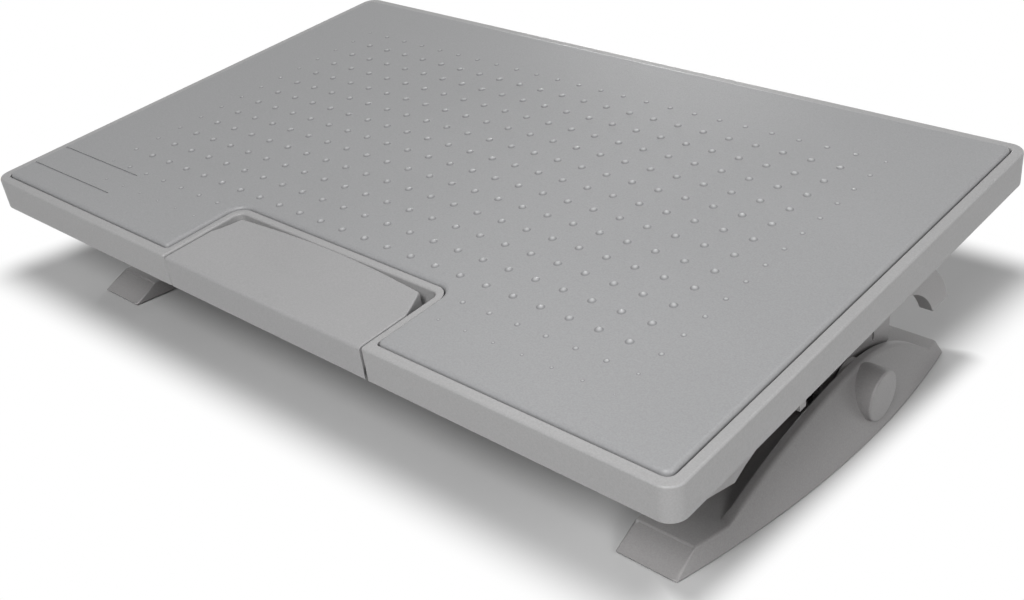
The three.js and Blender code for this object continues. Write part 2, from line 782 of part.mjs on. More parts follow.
// One side frame for the right: arm, guard plate with its quadrant, and the web that joins them
function makeSideFrame() {
  const web = box(armFrom, guardTo, webFront, webBack, webUnder, webTop);
  const heelV = axleV + frame.heelBack;
  const heelW = axleW - frame.heelDrop;
  const arm = new THREE.Shape();
  arm.moveTo(axleV - frame.armAhead, webTop);
  arm.lineTo(axleV - frame.armAhead, webUnder - frame.heelTop);
  arm.lineTo(axleV - frame.hub, axleW);
  arm.absarc(axleV, axleW, frame.hub, Math.PI, Math.PI * 1.5);
  arm.lineTo(heelV, heelW);
  arm.lineTo(heelV, heelW + frame.heelTop);
  arm.absarc(heelV + frame.flare, heelW + frame.heelTop, frame.flare, Math.PI, Math.PI / 2, true);
  arm.lineTo(axleV + frame.armBehind, webUnder - frame.heelTop);
  arm.lineTo(axleV + frame.armBehind, webTop);
  const tipW = axleW + frame.quadrantTipRise;
  const edgeW = -skirtDepth - frame.guardBelowSkirt;
  const tabTip = webFront + frame.tabLength;
  const reachAt = (radius, w) => axleV + Math.sqrt(radius ** 2 - (w - axleW) ** 2);
  const angleAt = (v, w) => Math.atan2(w - axleW, v - axleV);
  const outerTop = reachAt(frame.quadrantOuter, edgeW);
  const innerTop = axleV + Math.sqrt(frame.quadrantInner ** 2 - (frame.quadrantInner - gap) ** 2);
  const guard = new THREE.Shape();
  guard.moveTo(webFront, webTop);
  guard.lineTo(webFront, edgeW - frame.tabFrontBelow);
  guard.lineTo(tabTip, edgeW - frame.tabBelow);
  guard.lineTo(tabTip + frame.tabHeelLength, edgeW - frame.tabHeelBelow);
  guard.lineTo(tabTip + frame.tabBackLength, edgeW);
  guard.lineTo(innerTop, edgeW);
  guard.absarc(
    axleV, axleW, frame.quadrantInner,
    Math.PI / 2, angleAt(reachAt(frame.quadrantInner, tipW), tipW), true,
  );
  guard.absarc(
    axleV, axleW, frame.quadrantOuter,
    angleAt(reachAt(frame.quadrantOuter, tipW), tipW), angleAt(outerTop, edgeW),
  );
  guard.lineTo(webBack, edgeW);
  guard.lineTo(webBack, webTop);
  const clipV = axleV - frame.clipAhead;
  const clip = box(
    guardFrom, guardTo, clipV - frame.clipHalf, clipV + frame.clipHalf, edgeW - frame.clipBelow, edgeW + gap,
  );
  const slit = box(
    armTo - frame.slitWidth, armTo + overrun,
    axleV + frame.slitBack - frame.slitWidth / 2, axleV + frame.slitBack + frame.slitWidth / 2,
    axleW + frame.slitDrop, axleW + frame.slitDrop + frame.slitTop,
  );
  const body = joined([
    web,
    side(arm, armFrom, armTo),
    side(guard, guardFrom, guardTo),
    clip,
  ]);
  return without(body, [
    barAcross(axleRadius + bush.wall + gap * 2, 0, guardFrom, axleV, axleW, round.fineCount),
    slit,
    ...screwHoles(webUnder - overrun, webTop + overrun),
  ]);
}

// The flanged bush that the arm turns on
function makeBush() {
  const outer = axleRadius + gap + bush.wall;
  const inner = armFrom - gap;
  const sleeve = barAcross(outer, inner, armTo + bush.proud, axleV, axleW, round.fineCount);
  const flange = barAcross(
    outer + bush.flange, inner - bush.flangeWall, inner, axleV, axleW, round.fineCount,
  );
  return sleeve.add(flange).subtract(
    barAcross(axleRadius + gap, 0, platformWidth, axleV, axleW, round.fineCount),
  );
}

function makeScrew(x, y) {
  const seat = webUnder - gap;
  const head = post(screw.head, x, y, seat - screw.headHeight, seat, round.coarseCount);
  return head.add(post(screw.shank, x, y, seat, screwTop, round.pinCount));
}

// Half the length of the foot, with the arc of its outer edge at the floor
const footHalf = footLength / 2;
const endOuter = footInner + foot.endWidth;
const bowRadius = (footHalf ** 2 + foot.bow ** 2) / (2 * foot.bow);

function bowAt(y) {
  return endOuter + foot.bow - (bowRadius - Math.sqrt(bowRadius ** 2 - y ** 2));
}

// A band of the foot's plan at one height: from an inner edge out to the leaning outer face
function footRing(front, back, innerAt, z) {
  const points = [];
  for (let i = 0; i <= foot.arcCount; i += 1) {
    const y = front + ((back - front) * i) / foot.arcCount;
    points.push([bowAt(y) - foot.leanShare * z, y]);
  }
  for (let i = foot.arcCount; i >= 0; i -= 1) {
    const y = front + ((back - front) * i) / foot.arcCount;
    points.push([innerAt(y, z), y]);
  }
  return points.map(([x, y]) => new THREE.Vector3(x, y, z));
}

// Two rings of as many points, joined by a wall and closed by caps
function loft(low, high) {
  const count = low.length;
  const position = [...low, ...high].flatMap((p) => [p.x, p.y, p.z]);
  const flat = (ring) => ring.map((p) => new THREE.Vector2(p.x, p.y));
  const caps = THREE.ShapeUtils.triangulateShape(flat(low), []);
  const index = [];
  for (const [a, b, c] of caps) {
    index.push(a, c, b);
  }
  for (const [a, b, c] of THREE.ShapeUtils.triangulateShape(flat(high), [])) {
    index.push(a + count, b + count, c + count);
  }
  for (let i = 0; i < count; i += 1) {
    const next = (i + 1) % count;
    index.push(i, next, next + count, i, next + count, i + count);
  }
  const geometry = new THREE.BufferGeometry();
  geometry.setAttribute("position", new THREE.Float32BufferAttribute(position, 3));
  geometry.setIndex(index);
  return solid(geometry);
}

// The radius of an arc that falls by the hump's rise over a length
function humpRadius(length) {
  return (length ** 2 + foot.humpRise ** 2) / (2 * foot.humpRise);
}

// The arched side view of the foot's walls: a long arc ahead of the axle and a short one behind it
function humpOutline(short) {
  const top = humpTop - short;
  const ahead = humpRadius(foot.humpAhead);
  const behind = humpRadius(foot.humpBehind);
  const start = Math.PI / 2 + Math.asin(foot.humpAhead / ahead);
  const end = Math.PI / 2 - Math.asin(foot.humpBehind / behind);
  const shape = new THREE.Shape();
  shape.absarc(axleBehindFootMiddle, top - ahead, ahead, start, Math.PI / 2, true);
  shape.absarc(axleBehindFootMiddle, top - behind, behind, Math.PI / 2, end, true);
  return shape;
}

function padPlaces() {
  const near = footInner + pad.side;
  return [
    ["front", near, -footHalf + pad.front],
    ["rear", near, footHalf - pad.front - pad.length + pad.backInset / 2],
  ];
}

function padOutline(x, y, inset) {
  return roundedRectangle(
    x + inset, x + pad.width - inset, y + inset, y + pad.length - inset, pad.corner - inset,
  );
}

function makeFoot() {
  const straight = () => footInner;
  const shoeLow = footRing(-footHalf, footHalf, straight, foot.lift);
  const shoeHigh = footRing(
    -footHalf + foot.frontSlope, footHalf - foot.backSlope, straight, foot.shoeTop,
  );
  const shoeBody = loft(shoeLow, shoeHigh);
  const behind = (y, z) => bowAt(y) - foot.leanShare * z - foot.wall;
  const wallEnds = [-footHalf + foot.frontSlope, footHalf - foot.backSlope];
  const wallBlock = loft(
    footRing(...wallEnds, behind, foot.shoeTop - overrun),
    footRing(...wallEnds, behind, humpTop + overrun),
  );
  const wall = wallBlock.intersect(side(humpOutline(0), footInner, bossFace + overrun));
  const innerCut = box(
    footInner, footInner + foot.innerWall, foot.innerFront, foot.innerBack, foot.shoeTop - gap, humpTop,
  );
  const innerWall = side(humpOutline(foot.innerShort), footInner, footInner + foot.innerWall)
    .intersect(innerCut);
  const y = axleBehindFootMiddle;
  const z = axleHeight;
  const boss = barAcross(foot.boss, channelTo, bossFace, y, z, round.fineCount * 2);
  const innerBoss = barAcross(
    foot.innerBoss, footInner - foot.innerBossReach, channelFrom, y, z, round.fineCount,
  );
  const body = joined([shoeBody, wall, innerWall, boss, innerBoss]);
  const channel = box(
    channelFrom, channelTo, y - hubPocket, y + hubPocket, foot.shoeTop, humpTop + overrun,
  );
  const cuts = [
    barAcross(hubPocket, channelFrom, channelTo, y, z, round.fineCount * 2),
    channel,
    barAcross(axleRadius + gap, 0, bossFace - foot.socketDepth, y, z, round.fineCount),
    barAcross(tie.radius + gap, 0, channelFrom + overrun, y - tie.ahead, z, round.coarseCount),
  ];
  for (const [, x, at] of padPlaces()) {
    cuts.push(plan(padOutline(x, at, 0), foot.lift - overrun, foot.lift + pad.recess));
  }
  return without(body, cuts);
}

function makePad(x, y) {
  return plan(padOutline(x, y, gap), 0, foot.lift + pad.recess - gap);
}

function makeAxle() {
  const reach = bossFace - foot.socketDepth - axle.endGap;
  const past = reach + overrun;
  const y = axleBehindFootMiddle;
  const bar = barAcross(axleRadius, -reach, reach, y, axleHeight, round.fineCount);
  return bar.subtract(barAcross(axle.bore, -past, past, y, axleHeight, round.fineCount));
}

function makeTie() {
  const reach = footInner + foot.innerWall + tie.reach;
  const y = axleBehindFootMiddle - tie.ahead;
  return barAcross(tie.radius, -reach, reach, y, axleHeight, round.coarseCount);
}

function makeDrum() {
  const y = axleBehindFootMiddle;
  const body = barAcross(drum.radius, -drum.half, drum.half, y, axleHeight, round.fineCount);
  return body.subtract(
    barAcross(axleRadius + gap, -drum.half - overrun, drum.half + overrun, y, axleHeight, round.fineCount),
  );
}

const group = new THREE.Group();

const base = new THREE.Group();
const rightFoot = makeFoot();
base.add(piece("foot_right", rightFoot, material.foot));
base.add(piece("foot_left", mirrored(rightFoot), material.foot));
for (const [end, x, y] of padPlaces()) {
  const body = makePad(x, y);
  base.add(piece(`foot_pad_${end}_right`, body, material.rubber));
  base.add(piece(`foot_pad_${end}_left`, mirrored(body), material.rubber));
}
base.add(piece("cross_axle", makeAxle(), material.steel));
base.add(piece("tie_bar", makeTie(), material.steel));
base.add(piece("brake_drum", makeDrum(), material.steel));

const platform = new THREE.Group();
platform.add(piece("tray", makeTray(), material.tray));
platform.add(piece("tread_panel", makeTread(), material.tread));
const rightFrame = makeSideFrame();
platform.add(piece("side_frame_right", rightFrame, material.frame));
platform.add(piece("side_frame_left", mirrored(rightFrame), material.frame));
const rightBush = makeBush();
platform.add(piece("axle_bush_right", rightBush, material.frame));
platform.add(piece("axle_bush_left", mirrored(rightBush), material.frame));
platform.add(piece("hanger", makeHanger(), material.frame));
platform.add(piece("brake_pivot_pin", makeBrakePin(), material.steel));
platform.add(piece("brake_spring", makeBrakeSpring(), material.steel));
platform.add(piece("pedal_pin", makePedalPin(), material.steel));
platform.add(piece("pedal_spring", makeToeSpring(), material.steel));
for (const [name, x, y] of screwPlaces) {
  platform.add(piece(name, makeScrew(x, y), material.steel));
}
platform.add(piece("pedal", makePedal(), material.pedal));
platform.add(piece("pedal_rod_pin", makeRodPin(hingeV), material.steel));
platform.add(piece("release_rod", makeReleaseRod(), material.steel));
platform.add(piece("brake_lever", makeBrakeLever(), material.frame));
platform.add(piece("brake_lining", makeBrakeLining(), material.lining));
platform.add(piece("brake_rod_pin", makeRodPin(brakeV), material.steel));

// The platform's frame is placed so that its axle line falls on the feet's axle
platform.rotation.x = restTilt;
platform.position.set(
  0,
  axleBehindFootMiddle - axleV * Math.cos(restTilt) + axleW * Math.sin(restTilt),
  axleHeight - axleV * Math.sin(restTilt) - axleW * Math.cos(restTilt),
);
group.add(base, platform);

// The middle of the whole footrest stands over the origin
group.updateMatrixWorld(true);
const extent = new THREE.Box3().setFromObject(group, true);
group.position.y = -(extent.min.y + extent.max.y) / 2;
const overall = extent.getSize(new THREE.Vector3()).toArray();
console.log("overall, mm:", overall.map((n) => n.toFixed(2)).join(" x "));
console.log("shift to the middle, mm:", group.position.y.toFixed(3));
console.log("axle, mm:", (axleBehindFootMiddle + group.position.y).toFixed(3), axleHeight);
const hinge = platform.localToWorld(new THREE.Vector3(0, hingeV, hingeW)).setY(0);
console.log("pedal hinge height, mm:", hinge.z.toFixed(3));

export default group;
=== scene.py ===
import math

import bmesh
import bpy
from mathutils import Matrix, Vector


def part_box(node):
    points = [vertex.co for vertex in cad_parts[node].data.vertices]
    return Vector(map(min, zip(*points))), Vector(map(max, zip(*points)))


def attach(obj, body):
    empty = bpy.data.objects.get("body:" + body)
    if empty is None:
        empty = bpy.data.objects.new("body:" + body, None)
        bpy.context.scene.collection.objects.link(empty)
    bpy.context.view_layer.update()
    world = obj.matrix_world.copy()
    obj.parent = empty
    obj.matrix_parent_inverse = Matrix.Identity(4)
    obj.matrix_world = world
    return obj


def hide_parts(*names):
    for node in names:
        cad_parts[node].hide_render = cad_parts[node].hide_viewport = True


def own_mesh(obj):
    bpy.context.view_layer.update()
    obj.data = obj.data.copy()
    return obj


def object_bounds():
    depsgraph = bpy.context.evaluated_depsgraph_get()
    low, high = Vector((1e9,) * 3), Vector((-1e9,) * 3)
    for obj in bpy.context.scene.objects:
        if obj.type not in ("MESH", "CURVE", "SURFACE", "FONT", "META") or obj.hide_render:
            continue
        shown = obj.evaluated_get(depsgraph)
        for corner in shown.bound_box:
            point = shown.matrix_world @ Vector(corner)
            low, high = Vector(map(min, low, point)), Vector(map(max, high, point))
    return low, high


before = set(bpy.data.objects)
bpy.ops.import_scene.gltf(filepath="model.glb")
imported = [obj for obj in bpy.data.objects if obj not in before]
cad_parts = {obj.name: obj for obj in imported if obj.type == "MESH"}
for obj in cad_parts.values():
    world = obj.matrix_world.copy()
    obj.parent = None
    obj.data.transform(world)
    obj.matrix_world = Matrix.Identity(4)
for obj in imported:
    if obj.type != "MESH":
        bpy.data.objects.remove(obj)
cad_low, cad_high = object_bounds()

# The camera looks down from the front right, from where the photograph was taken.
# Its place is measured from the middle of the cross axle, which is the one fixed point of the footrest.
mm = 0.001
axle_low, axle_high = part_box("cross_axle")
axle = (axle_low + axle_high) / 2
camera_from_axle = Vector((519.06, -596.155, 391.539)) * mm
camera_right = Vector((0.74767, 0.663673, -0.022991))
camera_up = Vector((-0.293691, 0.361515, 0.884903))
camera_back = camera_right.cross(camera_up)
camera_lens = 45.454
camera_sensor = 36
lens_data = bpy.data.cameras.new("camera")
lens_data.lens = camera_lens
lens_data.sensor_width = camera_sensor
camera = bpy.data.objects.new("camera", lens_data)
bpy.context.scene.collection.objects.link(camera)
camera_turn = Matrix((camera_right, camera_up, camera_back)).transposed()
camera.matrix_world = Matrix.Translation(axle + camera_from_axle) @ camera_turn.to_4x4()
bpy.context.scene.camera = camera

# Soft studio light: a wide key lamp in front, weak lamps overhead, to the right and behind, and a dim
# surround. The surround is plain white where the camera, a reflection or a clear piece looks at it.
horizon_strength = 0.08
zenith_strength = 0.12
lamps = [
    ("key_lamp", Vector((0.5, -1.05, 0.97)), 0.45, 13),
    ("top_lamp", Vector((0.35, 0.3, 1)), 0.4, 1.8),
    ("right_lamp", Vector((1.2, -0.4, 0.6)), 0.5, 3.5),
    ("back_lamp", Vector((-0.6, 0.5, 1.1)), 0.35, 1.0),
    ("rear_lamp", Vector((-0.7, 1.2, 0.3)), 0.5, 4),
]


def seen_mask(tree):
    """A mask that is 1 where the camera, a reflection or a clear piece looks, and 0 elsewhere."""
    ray = tree.nodes.new("ShaderNodeLightPath")
    seen = ray.outputs["Is Camera Ray"]
    for kind in ("Is Glossy Ray", "Is Transmission Ray"):
        either = tree.nodes.new("ShaderNodeMath")
        either.operation = "MAXIMUM"
        tree.links.new(seen, either.inputs[0])
        tree.links.new(ray.outputs[kind], either.inputs[1])
        seen = either.outputs[0]
    return seen


def spread(tree, value, low, high, start=0, end=1):
    """A value from start to end spread from low to high, and held there beyond both ends."""
    spreader = tree.nodes.new("ShaderNodeMapRange")
    for key, number in {"From Min": start, "From Max": end, "To Min": low, "To Max": high}.items():
        spreader.inputs[key].default_value = number
    tree.links.new(value, spreader.inputs["Value"])
    return spreader.outputs[0]


def blended(tree, share, first, second):
    """A shader that goes from the first to the second as the share goes from 0 to 1."""
    mixer = tree.nodes.new("ShaderNodeMixShader")
    tree.links.new(share, mixer.inputs["Fac"])
    tree.links.new(first, mixer.inputs[1])
    tree.links.new(second, mixer.inputs[2])
    return mixer.outputs[0]


world = bpy.data.worlds.new("studio")
bpy.context.scene.world = world
world.use_nodes = True
sky = world.node_tree
sky.nodes.clear()
direction = sky.nodes.new("ShaderNodeTexCoord")
upward = sky.nodes.new("ShaderNodeSeparateXYZ")
sky.links.new(direction.outputs["Generated"], upward.inputs[0])
lit = sky.nodes.new("ShaderNodeBackground")
plain = sky.nodes.new("ShaderNodeBackground")
for shader in (lit, plain):
    shader.inputs["Color"].default_value = (1, 1, 1, 1)
glow = spread(sky, upward.outputs["Z"], horizon_strength, zenith_strength)
sky.links.new(glow, lit.inputs["Strength"])
sky_out = sky.nodes.new("ShaderNodeOutputWorld")
sky.links.new(blended(sky, seen_mask(sky), lit.outputs[0], plain.outputs[0]), sky_out.inputs["Surface"])
for name, place, size, power in lamps:
    lamp_data = bpy.data.lights.new(name, "AREA")
    lamp_data.shape = "DISK"
    lamp_data.size = size
    lamp_data.energy = power
    lamp = bpy.data.objects.new(name, lamp_data)
    bpy.context.scene.collection.objects.link(lamp)
    lamp.matrix_world = Matrix.Translation(place) @ place.to_track_quat("Z", "Y").to_matrix().to_4x4()
bpy.context.scene.view_settings.view_transform = "Standard"

# The floor is a plain pale sheet that takes the footrest's shadow. The camera sees it lighter than it
# lights the object, and plain white beyond soft edges round the platform and the feet, so that the
# background is white. Inside those soft boxes the camera sees the floor grey even where a lamp lights it,
# so their edges paint the outline of the shadow, while the shade inside them comes from the lamps. From
# below the sheet is clear, so that the underside can be seen.
floor_size = 8
floor_colour = (0.42, 0.42, 0.42, 1)
floor_seen_colour = (0.66, 0.66, 0.66, 1)
platform_shadow_middle = (-0.04, 0.078, 0)
platform_shadow_half = (0.27, 0.215, 0)
platform_shadow_softness = 0.045
foot_shadow_middle = (0.23, 0.019, 0)
foot_shadow_half = (0.024, 0.145, 0)
foot_shadow_softness = 0.022


def vector_step(tree, operation, value, by=None):
    """One step of vector arithmetic on a value, with or without a fixed second value."""
    step = tree.nodes.new("ShaderNodeVectorMath")
    step.operation = operation
    tree.links.new(value, step.inputs[0])
    if by is not None:
        step.inputs[1].default_value = by
    return step


def off_box(tree, point, middle_at, half_size, softness):
    """How far off a soft box a point of the floor is, from 0 inside it to 1 beyond its edge."""
    off_middle = vector_step(tree, "SUBTRACT", point, middle_at)
    one_quarter = vector_step(tree, "ABSOLUTE", off_middle.outputs[0])
    beyond = vector_step(tree, "SUBTRACT", one_quarter.outputs[0], half_size)
    outside = vector_step(tree, "MAXIMUM", beyond.outputs[0], (0, 0, 0))
    distance = vector_step(tree, "LENGTH", outside.outputs[0])
    fade = spread(tree, distance.outputs["Value"], 0, 1, end=softness)
    fade.node.interpolation_type = "SMOOTHSTEP"
    return fade


def floor_sheet():
    """The floor's material."""
    material = bpy.data.materials.new("floor")
    material.use_nodes = True
    tree = material.node_tree
    tree.nodes.clear()
    place = tree.nodes.new("ShaderNodeTexCoord").outputs["Object"]
    mirrored = vector_step(tree, "ABSOLUTE", place)
    across = tree.nodes.new("ShaderNodeSeparateXYZ")
    tree.links.new(mirrored.outputs[0], across.inputs[0])
    along = tree.nodes.new("ShaderNodeSeparateXYZ")
    tree.links.new(place, along.inputs[0])
    either_foot = tree.nodes.new("ShaderNodeCombineXYZ")
    tree.links.new(across.outputs["X"], either_foot.inputs["X"])
    tree.links.new(along.outputs["Y"], either_foot.inputs["Y"])
    platform_box = (platform_shadow_middle, platform_shadow_half, platform_shadow_softness)
    foot_box = (foot_shadow_middle, foot_shadow_half, foot_shadow_softness)
    off_both = tree.nodes.new("ShaderNodeMath")
    off_both.operation = "MINIMUM"
    tree.links.new(off_box(tree, place, *platform_box), off_both.inputs[0])
    tree.links.new(off_box(tree, either_foot.outputs[0], *foot_box), off_both.inputs[1])
    real = tree.nodes.new("ShaderNodeBsdfDiffuse")
    real.inputs["Color"].default_value = floor_colour
    shaded = tree.nodes.new("ShaderNodeBsdfDiffuse")
    shaded.inputs["Color"].default_value = floor_seen_colour
    plain = tree.nodes.new("ShaderNodeEmission")
    clear = tree.nodes.new("ShaderNodeBsdfTransparent")
    # Painted shadow outline: inside the soft boxes the floor is a grey diffuse, beyond them it is plain
    # white.
    pale = blended(tree, off_both.outputs[0], shaded.outputs[0], plain.outputs[0])
    from_above = blended(tree, seen_mask(tree), real.outputs[0], pale)
    below = tree.nodes.new("ShaderNodeNewGeometry").outputs["Backfacing"]
    sheet = tree.nodes.new("ShaderNodeOutputMaterial")
    tree.links.new(blended(tree, below, from_above, clear.outputs[0]), sheet.inputs["Surface"])
    return material


bpy.ops.object.select_all(action="DESELECT")
bpy.ops.mesh.primitive_plane_add(size=floor_size, location=(0, 0, cad_low.z))
floor = bpy.context.object
floor.name = "floor"
floor.data.materials.append(floor_sheet())

# The tray is one injection moulding in grey plastic: a rim with a rounded edge, a plain skirt, a recess
# for the tread, a notch for the pedal, and thin ribs under its deck. It is modelled lying flat about its
# own middle, and then tilted about the axle.
platform_tilt = math.radians(7.78)
platform_size = Vector((550, 350, 0)) * mm
middle_from_axle = Vector((0, -45, 102.2)) * mm
platform_turn = Matrix.Rotation(platform_tilt, 4, "X")
platform_place = Matrix.Translation(axle) @ platform_turn @ Matrix.Translation(middle_from_axle)
skirt = 21 * mm
notch_half = 84 * mm
notch_depth = 57.5 * mm
notch_rear = -platform_size.y / 2 + notch_depth
tray_corner = 10 * mm
tray_notch_corner = 5 * mm
tray_mouth_corner = 1.6 * mm
tray_rim = 6.3 * mm
tray_notch_rim = 4.8 * mm
tray_recess = 4 * mm
tray_wall = 3 * mm
tray_deck = 3 * mm
tray_edge = 1.3 * mm
tray_edge_steps = 5
small_edge = 0.5 * mm
small_edge_steps = 2
recess_edge_steps = 3
tread_corner = 5 * mm
tread_mouth_corner = 2.4 * mm
recess_corners = (tread_corner, tray_notch_corner + tray_notch_rim, tread_mouth_corner)
cavity_corners = (tray_corner - tray_wall, tray_notch_corner + tray_wall, tray_mouth_corner / 4)
hair = 0.05 * mm
merge_gap = 0.01 * mm
flat_angle = math.radians(1)
smooth_angle = 35
flat_face_weight = 60
arc_steps = 8
rib_depth = 8 * mm
rib_wall = 2 * mm
rib_inset = 58 * mm
ribs_across_shares = [-0.5, -0.22, 0.06, 0.42, 0.74]
ribs_deep_shares = [0.25, 0.5, 0.74]
tray_colour = (0.4, 0.397, 0.398)
plastic_grain = 1100
plastic_shine = 0.4
noise_range = (0.3, 0.7)
grain_detail = 2
grain_depth = 0.15 * mm
flow_scale = 9
flow_detail = 3
speck_shades = (0.93, 1.06)
drift_shades = (0.97, 1.03)
uneven_dullness = (0.9, 1.1)


def deselect():
    """Goes back to object mode with nothing selected."""
    if bpy.context.object and bpy.context.object.mode != "OBJECT":
        bpy.ops.object.mode_set(mode="OBJECT")
    bpy.ops.object.select_all(action="DESELECT")


def pick(kind, test):
    """Selects the corners, edges or faces of the mesh in edit mode that pass the test."""
    bpy.ops.mesh.select_mode(type=kind)
    bpy.ops.mesh.select_all(action="DESELECT")
    mesh = bmesh.from_edit_mesh(bpy.context.object.data)
    for item in {"VERT": mesh.verts, "EDGE": mesh.edges, "FACE": mesh.faces}[kind]:
        if test(item):
            item.select_set(True)
    bmesh.update_edit_mesh(bpy.context.object.data)


def middle(item):
    """The middle of an edge or a face."""
    return sum((v.co for v in item.verts), Vector()) / len(item.verts)


def round_edges(test, width, steps):
    """Rounds those edges of the active piece that pass the test."""
    bpy.ops.object.mode_set(mode="EDIT")
    pick("EDGE", test)
    bpy.ops.mesh.bevel(offset=width, segments=steps, affect="EDGES")
    bpy.ops.object.mode_set(mode="OBJECT")


def at_height(height):
    """A test for the edges that lie at one height."""
    return lambda edge: all(abs(v.co.z - height) < hair for v in edge.verts)


def recess_lip(edge):
    """Whether an edge is where the tray's rim meets the wall of its recess."""
    sides = [middle(face).z for face in edge.link_faces]
    return at_height(0)(edge) and any(abs(z + tray_recess / 2) < hair for z in sides)


def apply_modifier(piece, kind, **settings):
    """Adds a modifier to the piece and applies it."""
    modifier = piece.modifiers.new(kind.lower(), kind)
    for key, value in settings.items():
        setattr(modifier, key, value)
    bpy.context.view_layer.objects.active = piece
    bpy.ops.object.modifier_apply(modifier=modifier.name)


def finish_faces(piece, angle=smooth_angle):
    """Points the faces outwards and shades them smooth up to an angle, with flat faces kept flat."""
    deselect()
    piece.select_set(True)
    bpy.context.view_layer.objects.active = piece
    bpy.ops.object.mode_set(mode="EDIT")
    bpy.ops.mesh.select_all(action="SELECT")
    bpy.ops.mesh.normals_make_consistent(inside=False)
    bpy.ops.object.mode_set(mode="OBJECT")
    bpy.ops.object.shade_smooth_by_angle(angle=math.radians(angle))
    apply_modifier(piece, "WEIGHTED_NORMAL", keep_sharp=True, weight=flat_face_weight)


def tilt_into_place(piece):
    """Moves a piece that was modelled flat to where the tilted platform holds it."""
    deselect()
    piece.select_set(True)
    bpy.context.view_layer.objects.active = piece
    piece.matrix_world = platform_place
    bpy.ops.object.transform_apply(location=True, rotation=True, scale=True)


def notched_plate(name, inset, grown, corner, notch_corner, mouth_corner, height):
    """A flat plate with the platform's outline, inset from its edge and grown round its notch."""
    deselect()
    bpy.ops.mesh.primitive_plane_add(size=1, location=(0, 0, height))
    plate = bpy.context.object
    plate.name = name
    plate.data.name = name
    half = platform_size / 2 - Vector((inset, inset, 0))
    plate.scale = (2 * half.x, 2 * half.y, 1)
    bpy.ops.object.transform_apply(location=True, rotation=True, scale=True)
    side = notch_half + grown
    rear = notch_rear + grown
    bpy.ops.object.mode_set(mode="EDIT")
    cuts = [((-side, 0, 0), (1, 0, 0)), ((side, 0, 0), (1, 0, 0)), ((0, rear, 0), (0, 1, 0))]
    for point, normal in cuts:
        bpy.ops.mesh.select_all(action="SELECT")
        bpy.ops.mesh.bisect(plane_co=point, plane_no=normal)
    pick("FACE", lambda f: abs(middle(f).x) < side and middle(f).y < rear)
    bpy.ops.mesh.delete(type="FACE")
    bpy.ops.mesh.select_all(action="SELECT")
    bpy.ops.mesh.dissolve_limited(angle_limit=flat_angle)
    for radius, test in [
        (corner, lambda v: abs(abs(v.co.x) - half.x) < hair),
        (mouth_corner, lambda v: abs(abs(v.co.x) - side) < hair and v.co.y < rear - hair),
        (notch_corner, lambda v: abs(abs(v.co.x) - side) < hair and abs(v.co.y - rear) < hair),
    ]:
        pick("VERT", test)
        bpy.ops.mesh.bevel(offset=radius, segments=arc_steps, affect="VERTICES")
    bpy.ops.object.mode_set(mode="OBJECT")
    return plate


def plain_block(low, high):
    """A block between two corners, to be joined to a moulding as one of its ribs."""
    deselect()
    bpy.ops.mesh.primitive_cube_add(size=1, location=(Vector(low) + Vector(high)) / 2)
    block = bpy.context.object
    block.scale = Vector(high) - Vector(low)
    bpy.ops.object.transform_apply(location=True, rotation=True, scale=True)
    return block


def join_to(piece, others):
    """Joins the others to the piece as further walls of one moulding."""
    deselect()
    for other in others:
        other.select_set(True)
    piece.select_set(True)
    bpy.context.view_layer.objects.active = piece
    bpy.ops.object.join()


def cut_away(piece, cutter):
    """Cuts the cutter's shape out of the piece and throws the cutter away."""
    apply_modifier(piece, "BOOLEAN", operation="DIFFERENCE", solver="EXACT", object=cutter)
    bpy.data.objects.remove(cutter)


tray = notched_plate("tray_moulding", 0, 0, tray_corner, tray_notch_corner, tray_mouth_corner, 0)
apply_modifier(tray, "SOLIDIFY", thickness=skirt, offset=-1)
round_edges(at_height(0), tray_edge, tray_edge_steps)
round_edges(at_height(-skirt), small_edge, small_edge_steps)
under = -tray_recess - tray_deck
for height, thickness, inset, grown, corners in [
    (skirt, skirt + tray_recess, tray_rim, tray_notch_rim, recess_corners),
    (under, skirt, tray_wall, tray_wall, cavity_corners),
]:
    cutter = notched_plate("cutter", inset, grown, *corners, height)
    apply_modifier(cutter, "SOLIDIFY", thickness=thickness, offset=-1)
    cut_away(tray, cutter)
round_edges(recess_lip, small_edge, recess_edge_steps)
ribs = []
rib_reach = platform_size.x / 2 - rib_inset
rib_low = under - rib_depth
rib_high = under + hair
for share in ribs_across_shares:
    v = share * platform_size.y / 2
    low = (-rib_reach, v - rib_wall / 2, rib_low)
    ribs.append(plain_block(low, (rib_reach, v + rib_wall / 2, rib_high)))
rib_back = platform_size.y / 2 - tray_wall
for share in ribs_deep_shares:
    for hand in (-1, 1):
        u = hand * share * platform_size.x / 2
        front = tray_wall + (notch_rear if abs(u) < notch_half else -platform_size.y / 2)
        low = (u - rib_wall / 2, front, rib_low)
        ribs.append(plain_block(low, (u + rib_wall / 2, rib_back, rib_high)))
join_to(tray, ribs)
finish_faces(tray)


def surface_group(name, inputs):
    """An empty node group with the given inputs, which gives a colour, a roughness and a normal."""
    group = bpy.data.node_groups.new(name, "ShaderNodeTree")
    for key, kind in inputs.items():
        group.interface.new_socket(key, in_out="INPUT", socket_type=f"NodeSocket{kind}")
    for key, kind in {"Colour": "Color", "Roughness": "Float", "Normal": "Vector"}.items():
        group.interface.new_socket(key, in_out="OUTPUT", socket_type=f"NodeSocket{kind}")
    return group


def noise(tree, place, scale, detail):
    """Soft noise of a given fineness over the surface."""
    pattern = tree.nodes.new("ShaderNodeTexNoise")
    pattern.inputs["Scale"].default_value = scale
    pattern.inputs["Detail"].default_value = detail
    tree.links.new(place, pattern.inputs["Vector"])
    return pattern


def tinted(tree, colour, strength):
    """A colour made darker or paler by a strength that changes over the surface."""
    tint = vector_step(tree, "SCALE", colour)
    tree.links.new(strength, tint.inputs["Scale"])
    return tint.outputs[0]


